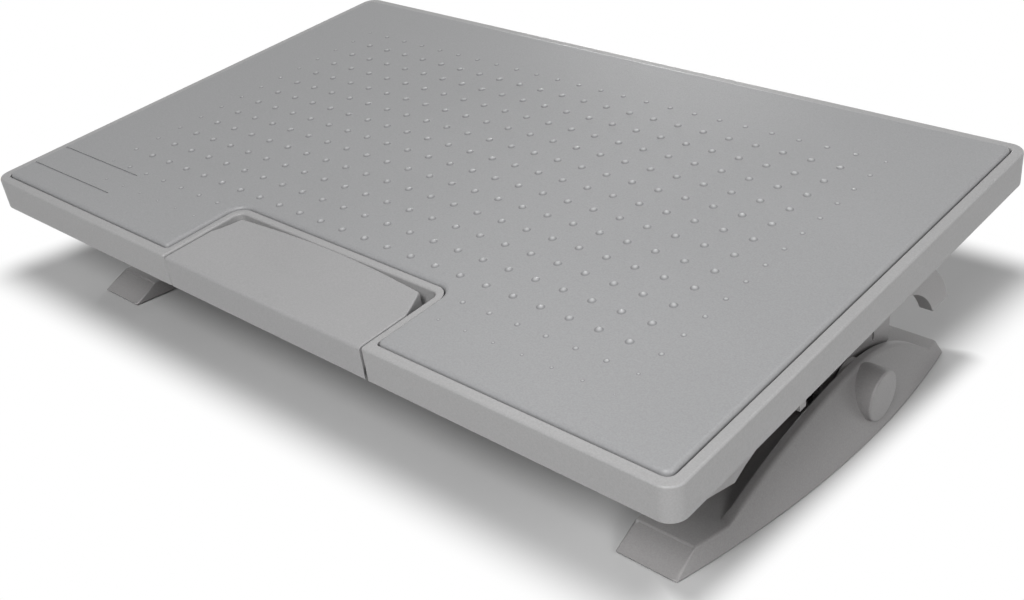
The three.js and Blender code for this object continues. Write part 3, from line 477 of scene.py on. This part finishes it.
def product(tree, first, second):
    """The product of two values."""
    times = tree.nodes.new("ShaderNodeMath")
    times.operation = "MULTIPLY"
    tree.links.new(first, times.inputs[0])
    tree.links.new(second, times.inputs[1])
    return times.outputs[0]


def relief(tree, height, strength, depth):
    """A bump from a height."""
    bump = tree.nodes.new("ShaderNodeBump")
    bump.inputs["Strength"].default_value = strength
    bump.inputs["Distance"].default_value = depth
    tree.links.new(height, bump.inputs["Height"])
    return bump


def put_out(tree, colour, roughness, normal):
    """Gives a group its three results."""
    made = tree.nodes.new("NodeGroupOutput")
    for key, value in {"Colour": colour, "Roughness": roughness, "Normal": normal}.items():
        tree.links.new(value, made.inputs[key])


def moulded_grain():
    """A node group: the fine grain of the mould on plastic, as a colour, a roughness and a normal."""
    inputs = {"Colour": "Color", "Dullness": "Float", "Grain": "Float", "Relief": "Float"}
    group = surface_group("moulded_grain", inputs)
    given = group.nodes.new("NodeGroupInput")
    place = group.nodes.new("ShaderNodeTexCoord").outputs["Object"]
    grain = noise(group, place, 1, grain_detail)
    group.links.new(given.outputs["Grain"], grain.inputs["Scale"])
    flow = noise(group, place, flow_scale, flow_detail).outputs["Fac"]
    speck = spread(group, grain.outputs["Fac"], *speck_shades, *noise_range)
    drift = spread(group, flow, *drift_shades, *noise_range)
    unevenness = spread(group, flow, *uneven_dullness, *noise_range)
    bump = relief(group, grain.outputs["Fac"], 1, grain_depth)
    group.links.new(given.outputs["Relief"], bump.inputs["Strength"])
    put_out(
        group, tinted(group, given.outputs["Colour"], product(group, speck, drift)),
        product(group, given.outputs["Dullness"], unevenness), bump.outputs[0],
    )
    return group


grain_group = moulded_grain()


def surfaced(name, group, settings, metallic=0, specular=0.5):
    """A material whose colour, roughness and normal come from a node group."""
    material = bpy.data.materials.new(name)
    material.use_nodes = True
    nodes = material.node_tree.nodes
    links = material.node_tree.links
    shader = nodes["Principled BSDF"]
    shader.inputs["Metallic"].default_value = metallic
    shader.inputs["Specular IOR Level"].default_value = specular
    surface = nodes.new("ShaderNodeGroup")
    surface.node_tree = group
    for key, value in settings.items():
        surface.inputs[key].default_value = value
    links.new(surface.outputs["Colour"], shader.inputs["Base Color"])
    links.new(surface.outputs["Roughness"], shader.inputs["Roughness"])
    links.new(surface.outputs["Normal"], shader.inputs["Normal"])
    return material


def grained(name, colour, dullness, grain, grain_relief, specular=0.5):
    """A material with the fine grain of its mould."""
    settings = {"Colour": (*colour, 1), "Dullness": dullness, "Grain": grain, "Relief": grain_relief}
    return surfaced(name, grain_group, settings, specular=specular)


def plastic(name, colour, dullness=0.4, grain_relief=0.35):
    """Grey moulded plastic."""
    return grained(name, colour, dullness, plastic_grain, grain_relief, plastic_shine)


def dress(piece, material, body, slot, *nodes):
    """Gives a finished piece its material and its body, and hides the nodes that it stands for. The slot
    is not used.
    """
    piece.data.materials.clear()
    piece.data.materials.append(material)
    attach(piece, body)
    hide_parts(*nodes)


tray_plastic = plastic("tray_plastic", tray_colour, dullness=0.34)
tilt_into_place(tray)
dress(tray, tray_plastic, "platform", "tray", "tray")

# The tread is a separate panel of grey plastic that lies in the tray's recess, a little proud of the rim,
# with a narrow groove all round. Its dots are moulded on: a plain grid whose edge rows and end columns
# fade. Two fine grooves at the front left mark off a bare field.
tread_gap = 0.8 * mm
tread_rise = 1.8 * mm
tread_thickness = 5.5 * mm
tread_edge = 2.3 * mm
tread_edge_steps = 6
tread_colour = (0.345, 0.346, 0.352)
dot_radius = 2.5 * mm
dot_height = 1.1 * mm
dot_profile_shares = [(1, 0), (0.82, 0.2), (0.52, 0.6), (0.26, 0.92), (0, 1)]
dot_sides = 12
dot_pitch_across = 18.76 * mm
dot_pitch_deep = 18.2 * mm
dot_first_row = -137.4 * mm
dot_row_shares = [0.42, 0.68, 1, 1, 1, 1, 1, 1, 1, 1, 1, 1, 1, 1, 0.75]
dot_columns = 24
dot_end_share = 0.65
# The dots' colour carries painted light: darker up to this share of their height as painted shade, and
# paler towards the top as a painted highlight.
dot_ring_share = 0.3
dot_painted_light_shades = (0.74, 1.65)
dot_dullness = (0.5, 0.22)
dot_relief = 0.1
dot_grain_depth = 0.1 * mm
badge_lines = [(-148.5 * mm, -179 * mm), (-124.3 * mm, -182 * mm)]
badge_line_start = -266 * mm
badge_line_width = 1.3 * mm
badge_line_depth = 0.8 * mm
tread = notched_plate(
    "tread_moulding", tray_rim + tread_gap, tray_notch_rim + tread_gap,
    tread_corner, tray_notch_corner + tray_notch_rim + tread_gap, tread_mouth_corner, tread_rise,
)
apply_modifier(tread, "SOLIDIFY", thickness=tread_thickness, offset=-1)
round_edges(at_height(tread_rise), tread_edge, tread_edge_steps)
for v, line_end in badge_lines:
    low = (badge_line_start, v - badge_line_width / 2, tread_rise - badge_line_depth)
    cut_away(tread, plain_block(low, (line_end, v + badge_line_width / 2, tread_rise + mm)))
deselect()
bpy.ops.mesh.primitive_circle_add(vertices=dot_sides, radius=dot_radius, location=(0, 0, 0))
first_dot = bpy.context.object
bpy.ops.object.mode_set(mode="EDIT")
for (wide, low), (next_wide, next_low) in zip(dot_profile_shares, dot_profile_shares[1:]):
    rise = (0, 0, (next_low - low) * dot_height)
    bpy.ops.mesh.extrude_region_move(TRANSFORM_OT_translate={"value": rise})
    shrink = next_wide / wide
    bpy.ops.transform.resize(value=(shrink, shrink, 1), center_override=(0, 0, 0))
bpy.ops.mesh.select_all(action="SELECT")
bpy.ops.mesh.remove_doubles(threshold=merge_gap)
bpy.ops.object.mode_set(mode="OBJECT")
finish_faces(first_dot)
# The dot's height is kept in its UV map, to place the painted shade round its foot and the painted
# highlight on its top.
for loop in first_dot.data.loops:
    height = first_dot.data.vertices[loop.vertex_index].co.z
    first_dot.data.uv_layers["UVMap"].data[loop.index].uv = (height / dot_height, 0)
tread_plastic = plastic("tread_plastic", tread_colour)


def painted_dot_light():
    """A node group: a dot is smooth on top and dull round its foot, with painted shade round its foot and
    a painted highlight on its top.
    """
    group = surface_group("painted_dot_light", {"Colour": "Color"})
    given = group.nodes.new("NodeGroupInput")
    place = group.nodes.new("ShaderNodeTexCoord")
    risen = group.nodes.new("ShaderNodeSeparateXYZ")
    group.links.new(place.outputs["UV"], risen.inputs[0])
    # Painted light: the colour darkens round the foot as painted shade and pales on top as a painted
    # highlight.
    shade = spread(group, risen.outputs["X"], *dot_painted_light_shades, start=dot_ring_share)
    dullness = spread(group, risen.outputs["X"], *dot_dullness, start=dot_ring_share)
    grain = noise(group, place.outputs["Object"], plastic_grain, grain_detail)
    bump = relief(group, grain.outputs["Fac"], dot_relief, dot_grain_depth)
    put_out(group, tinted(group, given.outputs["Colour"], shade), dullness, bump.outputs[0])
    return group


dot_settings = {"Colour": (*tread_colour, 1)}
dot_plastic = surfaced("dot_plastic", painted_dot_light(), dot_settings, specular=plastic_shine)
dots = []
last_column = (dot_columns - 1) / 2
dot_mesh = first_dot.data
dot_mesh.materials.append(dot_plastic)
for row, row_share in enumerate(dot_row_shares):
    v = dot_first_row + row * dot_pitch_deep
    for step in range(dot_columns):
        column = step - last_column
        u = column * dot_pitch_across
        if v > notch_rear or abs(u) > notch_half + dot_pitch_across:
            size = row_share * (dot_end_share if abs(column) == last_column else 1)
            dot = bpy.data.objects.new("dot", dot_mesh.copy())
            bpy.context.scene.collection.objects.link(dot)
            shape = Matrix.Diagonal((size, size, size ** 2, 1))
            dot.data.transform(Matrix.Translation((u, v, tread_rise)) @ shape)
            dots.append(dot)
bpy.data.objects.remove(first_dot)
finish_faces(tread)
tread.data.materials.append(tread_plastic)
join_to(tread, dots)
deselect()
tread.select_set(True)
bpy.context.view_layer.objects.active = tread
bpy.ops.object.shade_smooth_by_angle(angle=math.radians(smooth_angle))
tilt_into_place(tread)
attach(tread, "platform")
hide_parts("tread_panel")

# The pedal is a shell of grey plastic that lies in the notch. Its top is dished: the front slopes down to
# a soft crease that curves back at both ends, and the heel rises again to an edge on one wide arc. Its
# front wall carries the skirt's line on, and its side walls are lower.
pedal_half = 82.8 * mm
pedal_front = -platform_size.y / 2
pedal_straight = 34 * mm
pedal_shoulder_half = 75 * mm
pedal_shoulder_depth = 52 * mm
pedal_depth = 56.7 * mm
pedal_toe = -0.4 * mm
pedal_crease = -3.6 * mm
pedal_crease_end_share = 0.12
pedal_crease_depth = 31 * mm
pedal_crease_end_depth = 38 * mm
pedal_crease_softness = 3 * mm
pedal_heel = 0.8 * mm
pedal_skirt = 20.6 * mm
pedal_side_front = 12.6 * mm
pedal_side_back = 16 * mm
pedal_wall = 2.5 * mm
pedal_toe_round = 2.4 * mm
pedal_edge = 1 * mm
pedal_columns = 60
pedal_rows = 40
pedal_round_steps = 5
pedal_front_share = 0.01
pedal_smooth_angle = 40
pedal_colour = (0.38, 0.377, 0.38)
heel_rise = pedal_depth - pedal_shoulder_depth
heel_radius = (pedal_shoulder_half ** 2 + heel_rise ** 2) / (2 * heel_rise)


def pedal_half_width(depth):
    """Half the pedal's width at a depth behind its front edge."""
    share = max(0, (depth - pedal_straight) / (pedal_shoulder_depth - pedal_straight))
    return pedal_half + (pedal_shoulder_half - pedal_half) * min(1, share)


def pedal_heel_depth(u):
    """How far behind the front edge the heel lies, across the pedal."""
    return pedal_depth - heel_radius + math.sqrt(heel_radius ** 2 - min(abs(u), pedal_shoulder_half) ** 2)


def pedal_height(u, depth):
    """The height of the pedal's top: two slopes that meet in a soft crease."""
    bend = (u / pedal_half) ** 2
    crease_at = pedal_crease_depth + (pedal_crease_end_depth - pedal_crease_depth) * bend
    crease = pedal_crease * (1 - (1 - pedal_crease_end_share) * bend)
    fall = (crease - pedal_toe) / crease_at
    rise = (pedal_heel - crease) / (pedal_heel_depth(u) - crease_at)
    off = depth - crease_at
    soft = math.sqrt(off ** 2 + pedal_crease_softness ** 2)
    return crease + (rise + fall) / 2 * off + (rise - fall) / 2 * (soft - pedal_crease_softness)


def rounded_run(length, start_round, end_round, steps):
    """Places along a line from edge to edge, each with the drop that the rounded edge has there."""
    quarter = [math.pi / 2 * k / pedal_round_steps for k in range(pedal_round_steps + 1)]
    bend = [(1 - math.sin(turn), 1 - math.cos(turn)) for turn in quarter]
    start = [(start_round * along, start_round * drop) for along, drop in reversed(bend)]
    end = [(length - end_round * along, end_round * drop) for along, drop in bend]
    plain_length = length - start_round - end_round
    return start + [(start_round + plain_length * k / steps, 0) for k in range(1, steps)] + end


def pedal_skin(name, inset, lowered, toe_round, edge_round):
    """The pedal's top and walls as an open shell, inset from its outline and lowered."""
    across_run = rounded_run(2 * pedal_half, edge_round, edge_round, pedal_columns)
    along_run = rounded_run(pedal_depth, toe_round, edge_round, pedal_rows)
    columns = len(across_run) - 1
    rows = len(along_run) - 1
    deselect()
    bpy.ops.mesh.primitive_grid_add(x_subdivisions=columns, y_subdivisions=rows, size=2)
    skin = bpy.context.object
    skin.name = name
    for point in skin.data.vertices:
        across, side_drop = across_run[round((point.co.x + 1) / 2 * columns)]
        along, end_drop = along_run[round((point.co.y + 1) / 2 * rows)]
        across = across / pedal_half - 1
        heel = pedal_heel_depth(across * pedal_shoulder_half)
        depth = inset + along / pedal_depth * (heel - 2 * inset)
        u = across * (pedal_half_width(depth) - inset)
        drop = max(side_drop, end_drop) + lowered
        point.co = (u, pedal_front + depth, pedal_height(u, depth) - drop)
    bpy.ops.object.mode_set(mode="EDIT")
    bpy.ops.mesh.select_all(action="SELECT")
    bpy.ops.mesh.region_to_loop()
    bpy.ops.mesh.extrude_region_move(TRANSFORM_OT_translate={"value": (0, 0, -2 * pedal_skirt)})
    shell = bmesh.from_edit_mesh(skin.data)
    for point in shell.verts:
        if point.co.z < -pedal_skirt:
            back = (point.co.y - pedal_front - inset) / pedal_straight
            side_low = pedal_side_front + (pedal_side_back - pedal_side_front) * min(1, back)
            point.co.z = -pedal_skirt if back < pedal_front_share else -side_low
    bmesh.update_edit_mesh(skin.data)
    bpy.ops.object.mode_set(mode="OBJECT")
    return skin


pedal = pedal_skin("pedal_moulding", 0, 0, pedal_toe_round, pedal_edge)
join_to(pedal, [pedal_skin("inside", pedal_wall, pedal_wall, small_edge, small_edge)])
bpy.ops.object.mode_set(mode="EDIT")
pick("EDGE", lambda e: e.is_boundary)
bpy.ops.mesh.bridge_edge_loops()
bpy.ops.object.mode_set(mode="OBJECT")
finish_faces(pedal, pedal_smooth_angle)
pedal_plastic = plastic("pedal_plastic", pedal_colour, dullness=0.32, grain_relief=0.25)
tilt_into_place(pedal)
dress(pedal, pedal_plastic, "pedal", "pedal", "pedal")

# Each foot is a grey plastic moulding: a long flat shoe that bows outwards, with an arched wall along its
# outer edge that leans in and peaks over the axle. The arm of the side frame goes down behind that wall
# into a round pocket, and the axle ends in the round boss.
foot_inner = 208.5 * mm
foot_half = 147 * mm
foot_end_outer = 246.1 * mm
foot_bow = 13.7 * mm
foot_lift = 1 * mm
foot_shoe_top = 12 * mm
foot_lean = 0.405
foot_front_slope = 19 * mm
foot_back_slope = 10 * mm
foot_wall = 6.5 * mm
hump_rise = 28 * mm
hump_round_rise = 7 * mm
hump_ahead = 140 * mm
hump_behind = 84 * mm
hump_at = 38 * mm
foot_middle = axle.y - hump_at
foot_stations = 96
foot_low_round = 0.8 * mm
foot_top_round = 3.2 * mm
foot_shoe_round = 1.8 * mm
foot_inner_round = 1.2 * mm
foot_end_round = 1.4 * mm
foot_rear_corner = 5 * mm
foot_smooth_angle = 30
foot_colour = (0.335, 0.326, 0.326)
fillet_steps = 5
rear_corner_steps = 15
fillet_room_share = 0.45
straight_angle = math.radians(179)
bow_radius = (foot_half ** 2 + foot_bow ** 2) / (2 * foot_bow)


def foot_face(y, height):
    """How far out the foot's outer face lies, at a place along it and a height."""
    bow = foot_end_outer + foot_bow - bow_radius + math.sqrt(bow_radius ** 2 - y ** 2)
    past = max(0, y - (foot_half - foot_rear_corner))
    turned_in = foot_rear_corner - math.sqrt(max(0, foot_rear_corner ** 2 - past ** 2))
    return bow - turned_in - foot_lean * height


def hump_height(y, short=0):
    """The height of the arched wall along the foot, or of the shoe where there is no wall."""
    reach = hump_ahead if y < hump_at else hump_behind
    radius = (reach ** 2 + hump_rise ** 2) / (2 * hump_rise)
    fall = radius - math.sqrt(max(0, radius ** 2 - (y - hump_at) ** 2))
    return max(foot_shoe_top, foot_shoe_top + hump_rise - short - fall)


def filleted(ring):
    """A ring of corners, each given with its rounding, turned into points with the corners rounded."""
    points = []
    for i, (corner_point, radius) in enumerate(ring):
        before = ring[i - 1][0] - corner_point
        after = ring[(i + 1) % len(ring)][0] - corner_point
        room = fillet_room_share * min(before.length, after.length)
        if radius == 0 or room < hair or before.angle(after) > straight_angle:
            points += [corner_point] * (fillet_steps + 1)
            continue
        half_turn = before.angle(after) / 2
        back_off = min(room, radius / math.tan(half_turn))
        start = corner_point + before.normalized() * back_off
        end = corner_point + after.normalized() * back_off
        centre_way = (before.normalized() + after.normalized()).normalized()
        centre = corner_point + centre_way * back_off / math.cos(half_turn)
        reach = (start - centre).length
        for k in range(fillet_steps + 1):
            way = (start - centre).normalized().slerp((end - centre).normalized(), k / fillet_steps)
            points.append(centre + way * reach)
    return points


def skin_rings(name, rings):
    """A closed solid whose skin runs through rings of points, as a boat's hull is lofted."""
    deselect()
    stations = len(rings) - 1
    sides = len(rings[0])
    bpy.ops.mesh.primitive_grid_add(x_subdivisions=stations, y_subdivisions=sides, size=2)
    piece = bpy.context.object
    piece.name = name
    for corner_point in piece.data.vertices:
        i = round((corner_point.co.x + 1) / 2 * stations)
        j = round((corner_point.co.y + 1) / 2 * sides)
        corner_point.co = rings[i][j % sides]
    bpy.ops.object.mode_set(mode="EDIT")
    bpy.ops.mesh.select_all(action="SELECT")
    bpy.ops.mesh.remove_doubles(threshold=merge_gap)
    bpy.ops.mesh.select_all(action="SELECT")
    bpy.ops.mesh.fill_holes(sides=0)
    bpy.ops.mesh.select_all(action="SELECT")
    bpy.ops.mesh.normals_make_consistent(inside=False)
    bpy.ops.object.mode_set(mode="OBJECT")
    return piece


def foot_station(share, height):
    """Where a station of the foot lies at a height, between its sloping ends."""
    level = min(1, height / foot_shoe_top)
    front = -foot_half + foot_front_slope * level
    back = foot_half - foot_back_slope * level
    return front + (back - front) * share


def foot_ring(share, inset):
    """The outline of the foot at one station: shoe, outer face, top of the wall, inside of the wall."""
    top_y = foot_station(share, foot_shoe_top)
    low_y = foot_station(share, foot_lift)
    top = hump_height(top_y) - inset
    low = foot_lift + inset
    shoe_top = foot_shoe_top - inset
    inner = foot_inner + inset
    outer_top = foot_face(top_y, top) - inset
    wall = foot_wall - inset
    tall = min(1, (top - shoe_top) / hump_round_rise)
    top_round = foot_shoe_round + (foot_top_round - foot_shoe_round) * tall
    return filleted([
        (Vector((inner, low_y + foot_middle, low)), foot_low_round),
        (Vector((foot_face(low_y, low) - inset, low_y + foot_middle, low)), foot_low_round),
        (Vector((outer_top, top_y + foot_middle, top)), top_round),
        (Vector((outer_top - wall, top_y + foot_middle, top)), foot_inner_round),
        (Vector((foot_face(top_y, shoe_top) - inset - wall, top_y + foot_middle, shoe_top)), 0),
        (Vector((inner, top_y + foot_middle, shoe_top)), foot_inner_round),
    ])


def foot_rings():
    """The foot's outlines from front to back, drawn in round each end."""
    rings = []
    quarter = [math.pi / 2 * k / fillet_steps for k in range(fillet_steps + 1)]
    end_share = foot_end_round / (2 * foot_half)
    corner_share = foot_rear_corner / (2 * foot_half)
    for turn in reversed(quarter[1:]):
        inset = foot_end_round * (1 - math.cos(turn))
        rings.append(foot_ring(end_share * (1 - math.sin(turn)), inset))
    for i in range(foot_stations + 1):
        rings.append(foot_ring(end_share + (1 - corner_share - end_share) * i / foot_stations, 0))
    for k in range(1, rear_corner_steps):
        share = 1 - corner_share * (1 - math.sin(math.pi / 2 * k / rear_corner_steps))
        off = (1 - share) / end_share
        inset = foot_end_round * (1 - math.sqrt(1 - (1 - min(1, off)) ** 2))
        rings.append(foot_ring(share, inset))
    rings.append(foot_ring(1, foot_end_round))
    return rings


inner_wall = 4 * mm
inner_wall_front = -78 * mm
inner_wall_back = 100 * mm
inner_wall_short = 3 * mm
boss_radius = 15.5 * mm
boss_face = 258 * mm
boss_from = 233.7 * mm
boss_edge = 1.4 * mm
boss_edge_steps = 4
boss_sides = 64
inner_boss_radius = 13 * mm
inner_boss_reach = 2.5 * mm
pocket_radius = 20 * mm


def inner_wall_ring(share):
    """The outline of the foot's inner wall at one station."""
    y = inner_wall_front + (inner_wall_back - inner_wall_front) * share
    top = hump_height(y, inner_wall_short)
    return filleted([
        (Vector((foot_inner, y + foot_middle, foot_shoe_top - mm)), 0),
        (Vector((foot_inner + inner_wall, y + foot_middle, foot_shoe_top - mm)), 0),
        (Vector((foot_inner + inner_wall, y + foot_middle, top)), foot_low_round),
        (Vector((foot_inner, y + foot_middle, top)), foot_low_round),
    ])


def axle_cylinder(name, radius, start, end):
    """A plain round bar on the axle line."""
    deselect()
    bpy.ops.mesh.primitive_cylinder_add(
        vertices=boss_sides, radius=radius, depth=end - start,
        location=((start + end) / 2, axle.y, axle.z), rotation=(0, math.radians(90), 0),
    )
    bar = bpy.context.object
    bar.name = name
    bpy.ops.object.transform_apply(location=True, rotation=True, scale=True)
    return bar


def round_boss(name, radius, start, end, edge):
    """A round boss on the axle line with a rounded outer edge."""
    boss = axle_cylinder(name, radius, start, end)
    face = end if end > boss_from else start
    round_edges(lambda e: all(abs(v.co.x - face) < hair for v in e.verts), edge, boss_edge_steps)
    return boss


foot_right = skin_rings("foot_moulding_right", foot_rings())
cut_away(foot_right, axle_cylinder("pocket", pocket_radius, foot_inner + inner_wall, boss_from))
finish_faces(foot_right, foot_smooth_angle)
inner_rings = [inner_wall_ring(i / foot_stations) for i in range(foot_stations + 1)]
wall_right = skin_rings("inner_wall", inner_rings)
outer_boss = round_boss("outer_boss", boss_radius, boss_from, boss_face, boss_edge)
inner_boss = round_boss(
    "inner_boss", inner_boss_radius, foot_inner - inner_boss_reach, foot_inner + inner_wall, small_edge
)
for part in (wall_right, outer_boss, inner_boss):
    finish_faces(part, foot_smooth_angle)
join_to(foot_right, [wall_right, outer_boss, inner_boss])
foot_left = foot_right.copy()
foot_left.data = foot_right.data.copy()
foot_left.name = "foot_moulding_left"
bpy.context.scene.collection.objects.link(foot_left)
foot_left.data.transform(Matrix.Scale(-1, 4, (1, 0, 0)))
foot_left.data.flip_normals()
foot_plastic = plastic("foot_plastic", foot_colour)
dress(foot_right, foot_plastic, "base", "foot", "foot_right")
dress(foot_left, foot_plastic, "base", "foot", "foot_left")

# The side frames are moulded in the same grey: an arm, a guard plate with its tab, nub and curved lug,
# and the web between them. Each is the CAD solid with its edges rounded off.
frame_edge = 0.7 * mm
frame_colour = (0.41, 0.4, 0.4)
solid_flat_angle = math.radians(0.5)
solid_edge_angle = math.radians(40)
solid_edge_steps = 2
frame_plastic = plastic("frame_plastic", frame_colour)


def merged_copy(node, name):
    """A copy of a CAD solid with its corners merged, alone selected and active."""
    deselect()
    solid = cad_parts[node]
    piece = bpy.data.objects.new(name, solid.data.copy())
    bpy.context.scene.collection.objects.link(piece)
    piece.select_set(True)
    bpy.context.view_layer.objects.active = piece
    bpy.ops.object.mode_set(mode="EDIT")
    bpy.ops.mesh.select_all(action="SELECT")
    bpy.ops.mesh.remove_doubles(threshold=merge_gap)
    bpy.ops.object.mode_set(mode="OBJECT")
    return piece


def rounded_copy(node, name, edge):
    """A copy of a CAD solid with its flat faces joined up and its edges rounded."""
    piece = merged_copy(node, name)
    bpy.ops.object.mode_set(mode="EDIT")
    bpy.ops.mesh.select_all(action="SELECT")
    bpy.ops.mesh.dissolve_limited(angle_limit=solid_flat_angle)
    bpy.ops.object.mode_set(mode="OBJECT")
    sharp = {"limit_method": "ANGLE", "angle_limit": solid_edge_angle}
    apply_modifier(piece, "BEVEL", width=edge, segments=solid_edge_steps, **sharp)
    finish_faces(piece)
    return piece


for hand in ("right", "left"):
    side_frame = rounded_copy(f"side_frame_{hand}", f"side_frame_moulding_{hand}", frame_edge)
    dress(side_frame, frame_plastic, "platform", "frame", f"side_frame_{hand}")

# The hidden works under the tray keep the shapes that the joints were checked with. The bigger pieces
# get rounded edges, and all of them get a material: grey plastic, steel, rubber or brake lining.
works_edge = 0.5 * mm
scratch_stretch = (1, 12, 12)
scratch_scale = 160
scratch_detail = 4
scratch_shades = (0.8, 1.1)
scratch_dullness = (0.28, 0.5)
scratch_relief = 0.25
scratch_depth = 0.1 * mm


def turned_steel():
    """A node group: the tint, roughness and normal of turned and drawn steel with fine scratches."""
    group = surface_group("turned_steel", {"Colour": "Color"})
    given = group.nodes.new("NodeGroupInput")
    place = group.nodes.new("ShaderNodeTexCoord").outputs["Object"]
    stretch = group.nodes.new("ShaderNodeMapping")
    stretch.inputs["Scale"].default_value = scratch_stretch
    group.links.new(place, stretch.inputs["Vector"])
    scratches = noise(group, stretch.outputs[0], scratch_scale, scratch_detail).outputs["Fac"]
    shade = spread(group, scratches, *scratch_shades)
    dullness = spread(group, scratches, *scratch_dullness)
    bump = relief(group, scratches, scratch_relief, scratch_depth)
    put_out(group, tinted(group, given.outputs["Colour"], shade), dullness, bump.outputs[0])
    return group


steel_group = turned_steel()
steel = surfaced("steel", steel_group, {"Colour": (0.55, 0.55, 0.56, 1)}, metallic=1)
spring_steel = surfaced("spring_steel", steel_group, {"Colour": (0.35, 0.34, 0.33, 1)}, metallic=1)
zinc = surfaced("zinc", steel_group, {"Colour": (0.6, 0.61, 0.63, 1)}, metallic=1)
rubber = grained("rubber", (0.03, 0.03, 0.03), dullness=0.6, grain=600, grain_relief=0.5)
lining = grained("lining", (0.06, 0.045, 0.038), dullness=0.7, grain=900, grain_relief=1)
for node, body, slot, material in [
    ("hanger", "platform", "frame", frame_plastic),
    ("brake_lever", "brake_lever", "frame", frame_plastic),
    ("axle_bush_right", "platform", "frame", frame_plastic),
    ("axle_bush_left", "platform", "frame", frame_plastic),
    ("cross_axle", "base", "steel", steel),
    ("tie_bar", "base", "steel", steel),
    ("brake_drum", "base", "steel", steel),
    ("foot_pad_front_right", "base", "rubber", rubber),
    ("foot_pad_front_left", "base", "rubber", rubber),
    ("foot_pad_rear_right", "base", "rubber", rubber),
    ("foot_pad_rear_left", "base", "rubber", rubber),
]:
    piece = rounded_copy(node, f"{node}_rounded", works_edge)
    dress(piece, material, body, slot, node)
for node, material in [
    ("release_rod", zinc),
    ("pedal_pin", steel),
    ("pedal_rod_pin", steel),
    ("brake_pivot_pin", steel),
    ("brake_rod_pin", steel),
    ("brake_spring", spring_steel),
    ("brake_lining", lining),
]:
    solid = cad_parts[node]
    solid.data.materials.clear()
    solid.data.materials.append(material)

# The spring under the pedal's toe is a coil of steel wire that stands on a seat below the pedal.
coil_smooth_angle = 80
coil = merged_copy("pedal_spring", "pedal_spring_coil")
finish_faces(coil, coil_smooth_angle)
dress(coil, spring_steel, "platform", "steel", "pedal_spring")
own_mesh(coil)

# The screws that hold the side frames and the hanger are of zinc-plated steel, and their heads face down.
# Each is the CAD solid with rounded edges and a cross cut into its head as two slots.
screw_edge = 0.25 * mm
screw_recess = 3.6 * mm
screw_slot = 0.9 * mm
screw_slot_depth = 0.9 * mm
for node in sorted(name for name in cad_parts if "_screw_" in name):
    low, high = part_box(node)
    head = Vector(((low.x + high.x) / 2, (low.y + high.y) / 2, low.z))
    screw = rounded_copy(node, f"{node}_headed", screw_edge)
    for wide, deep in ((screw_slot, screw_recess), (screw_recess, screw_slot)):
        bottom = head - Vector((wide / 2, deep / 2, mm))
        cut_away(screw, plain_block(bottom, head + Vector((wide / 2, deep / 2, screw_slot_depth))))
    finish_faces(screw)
    dress(screw, zinc, "platform", "steel", node)
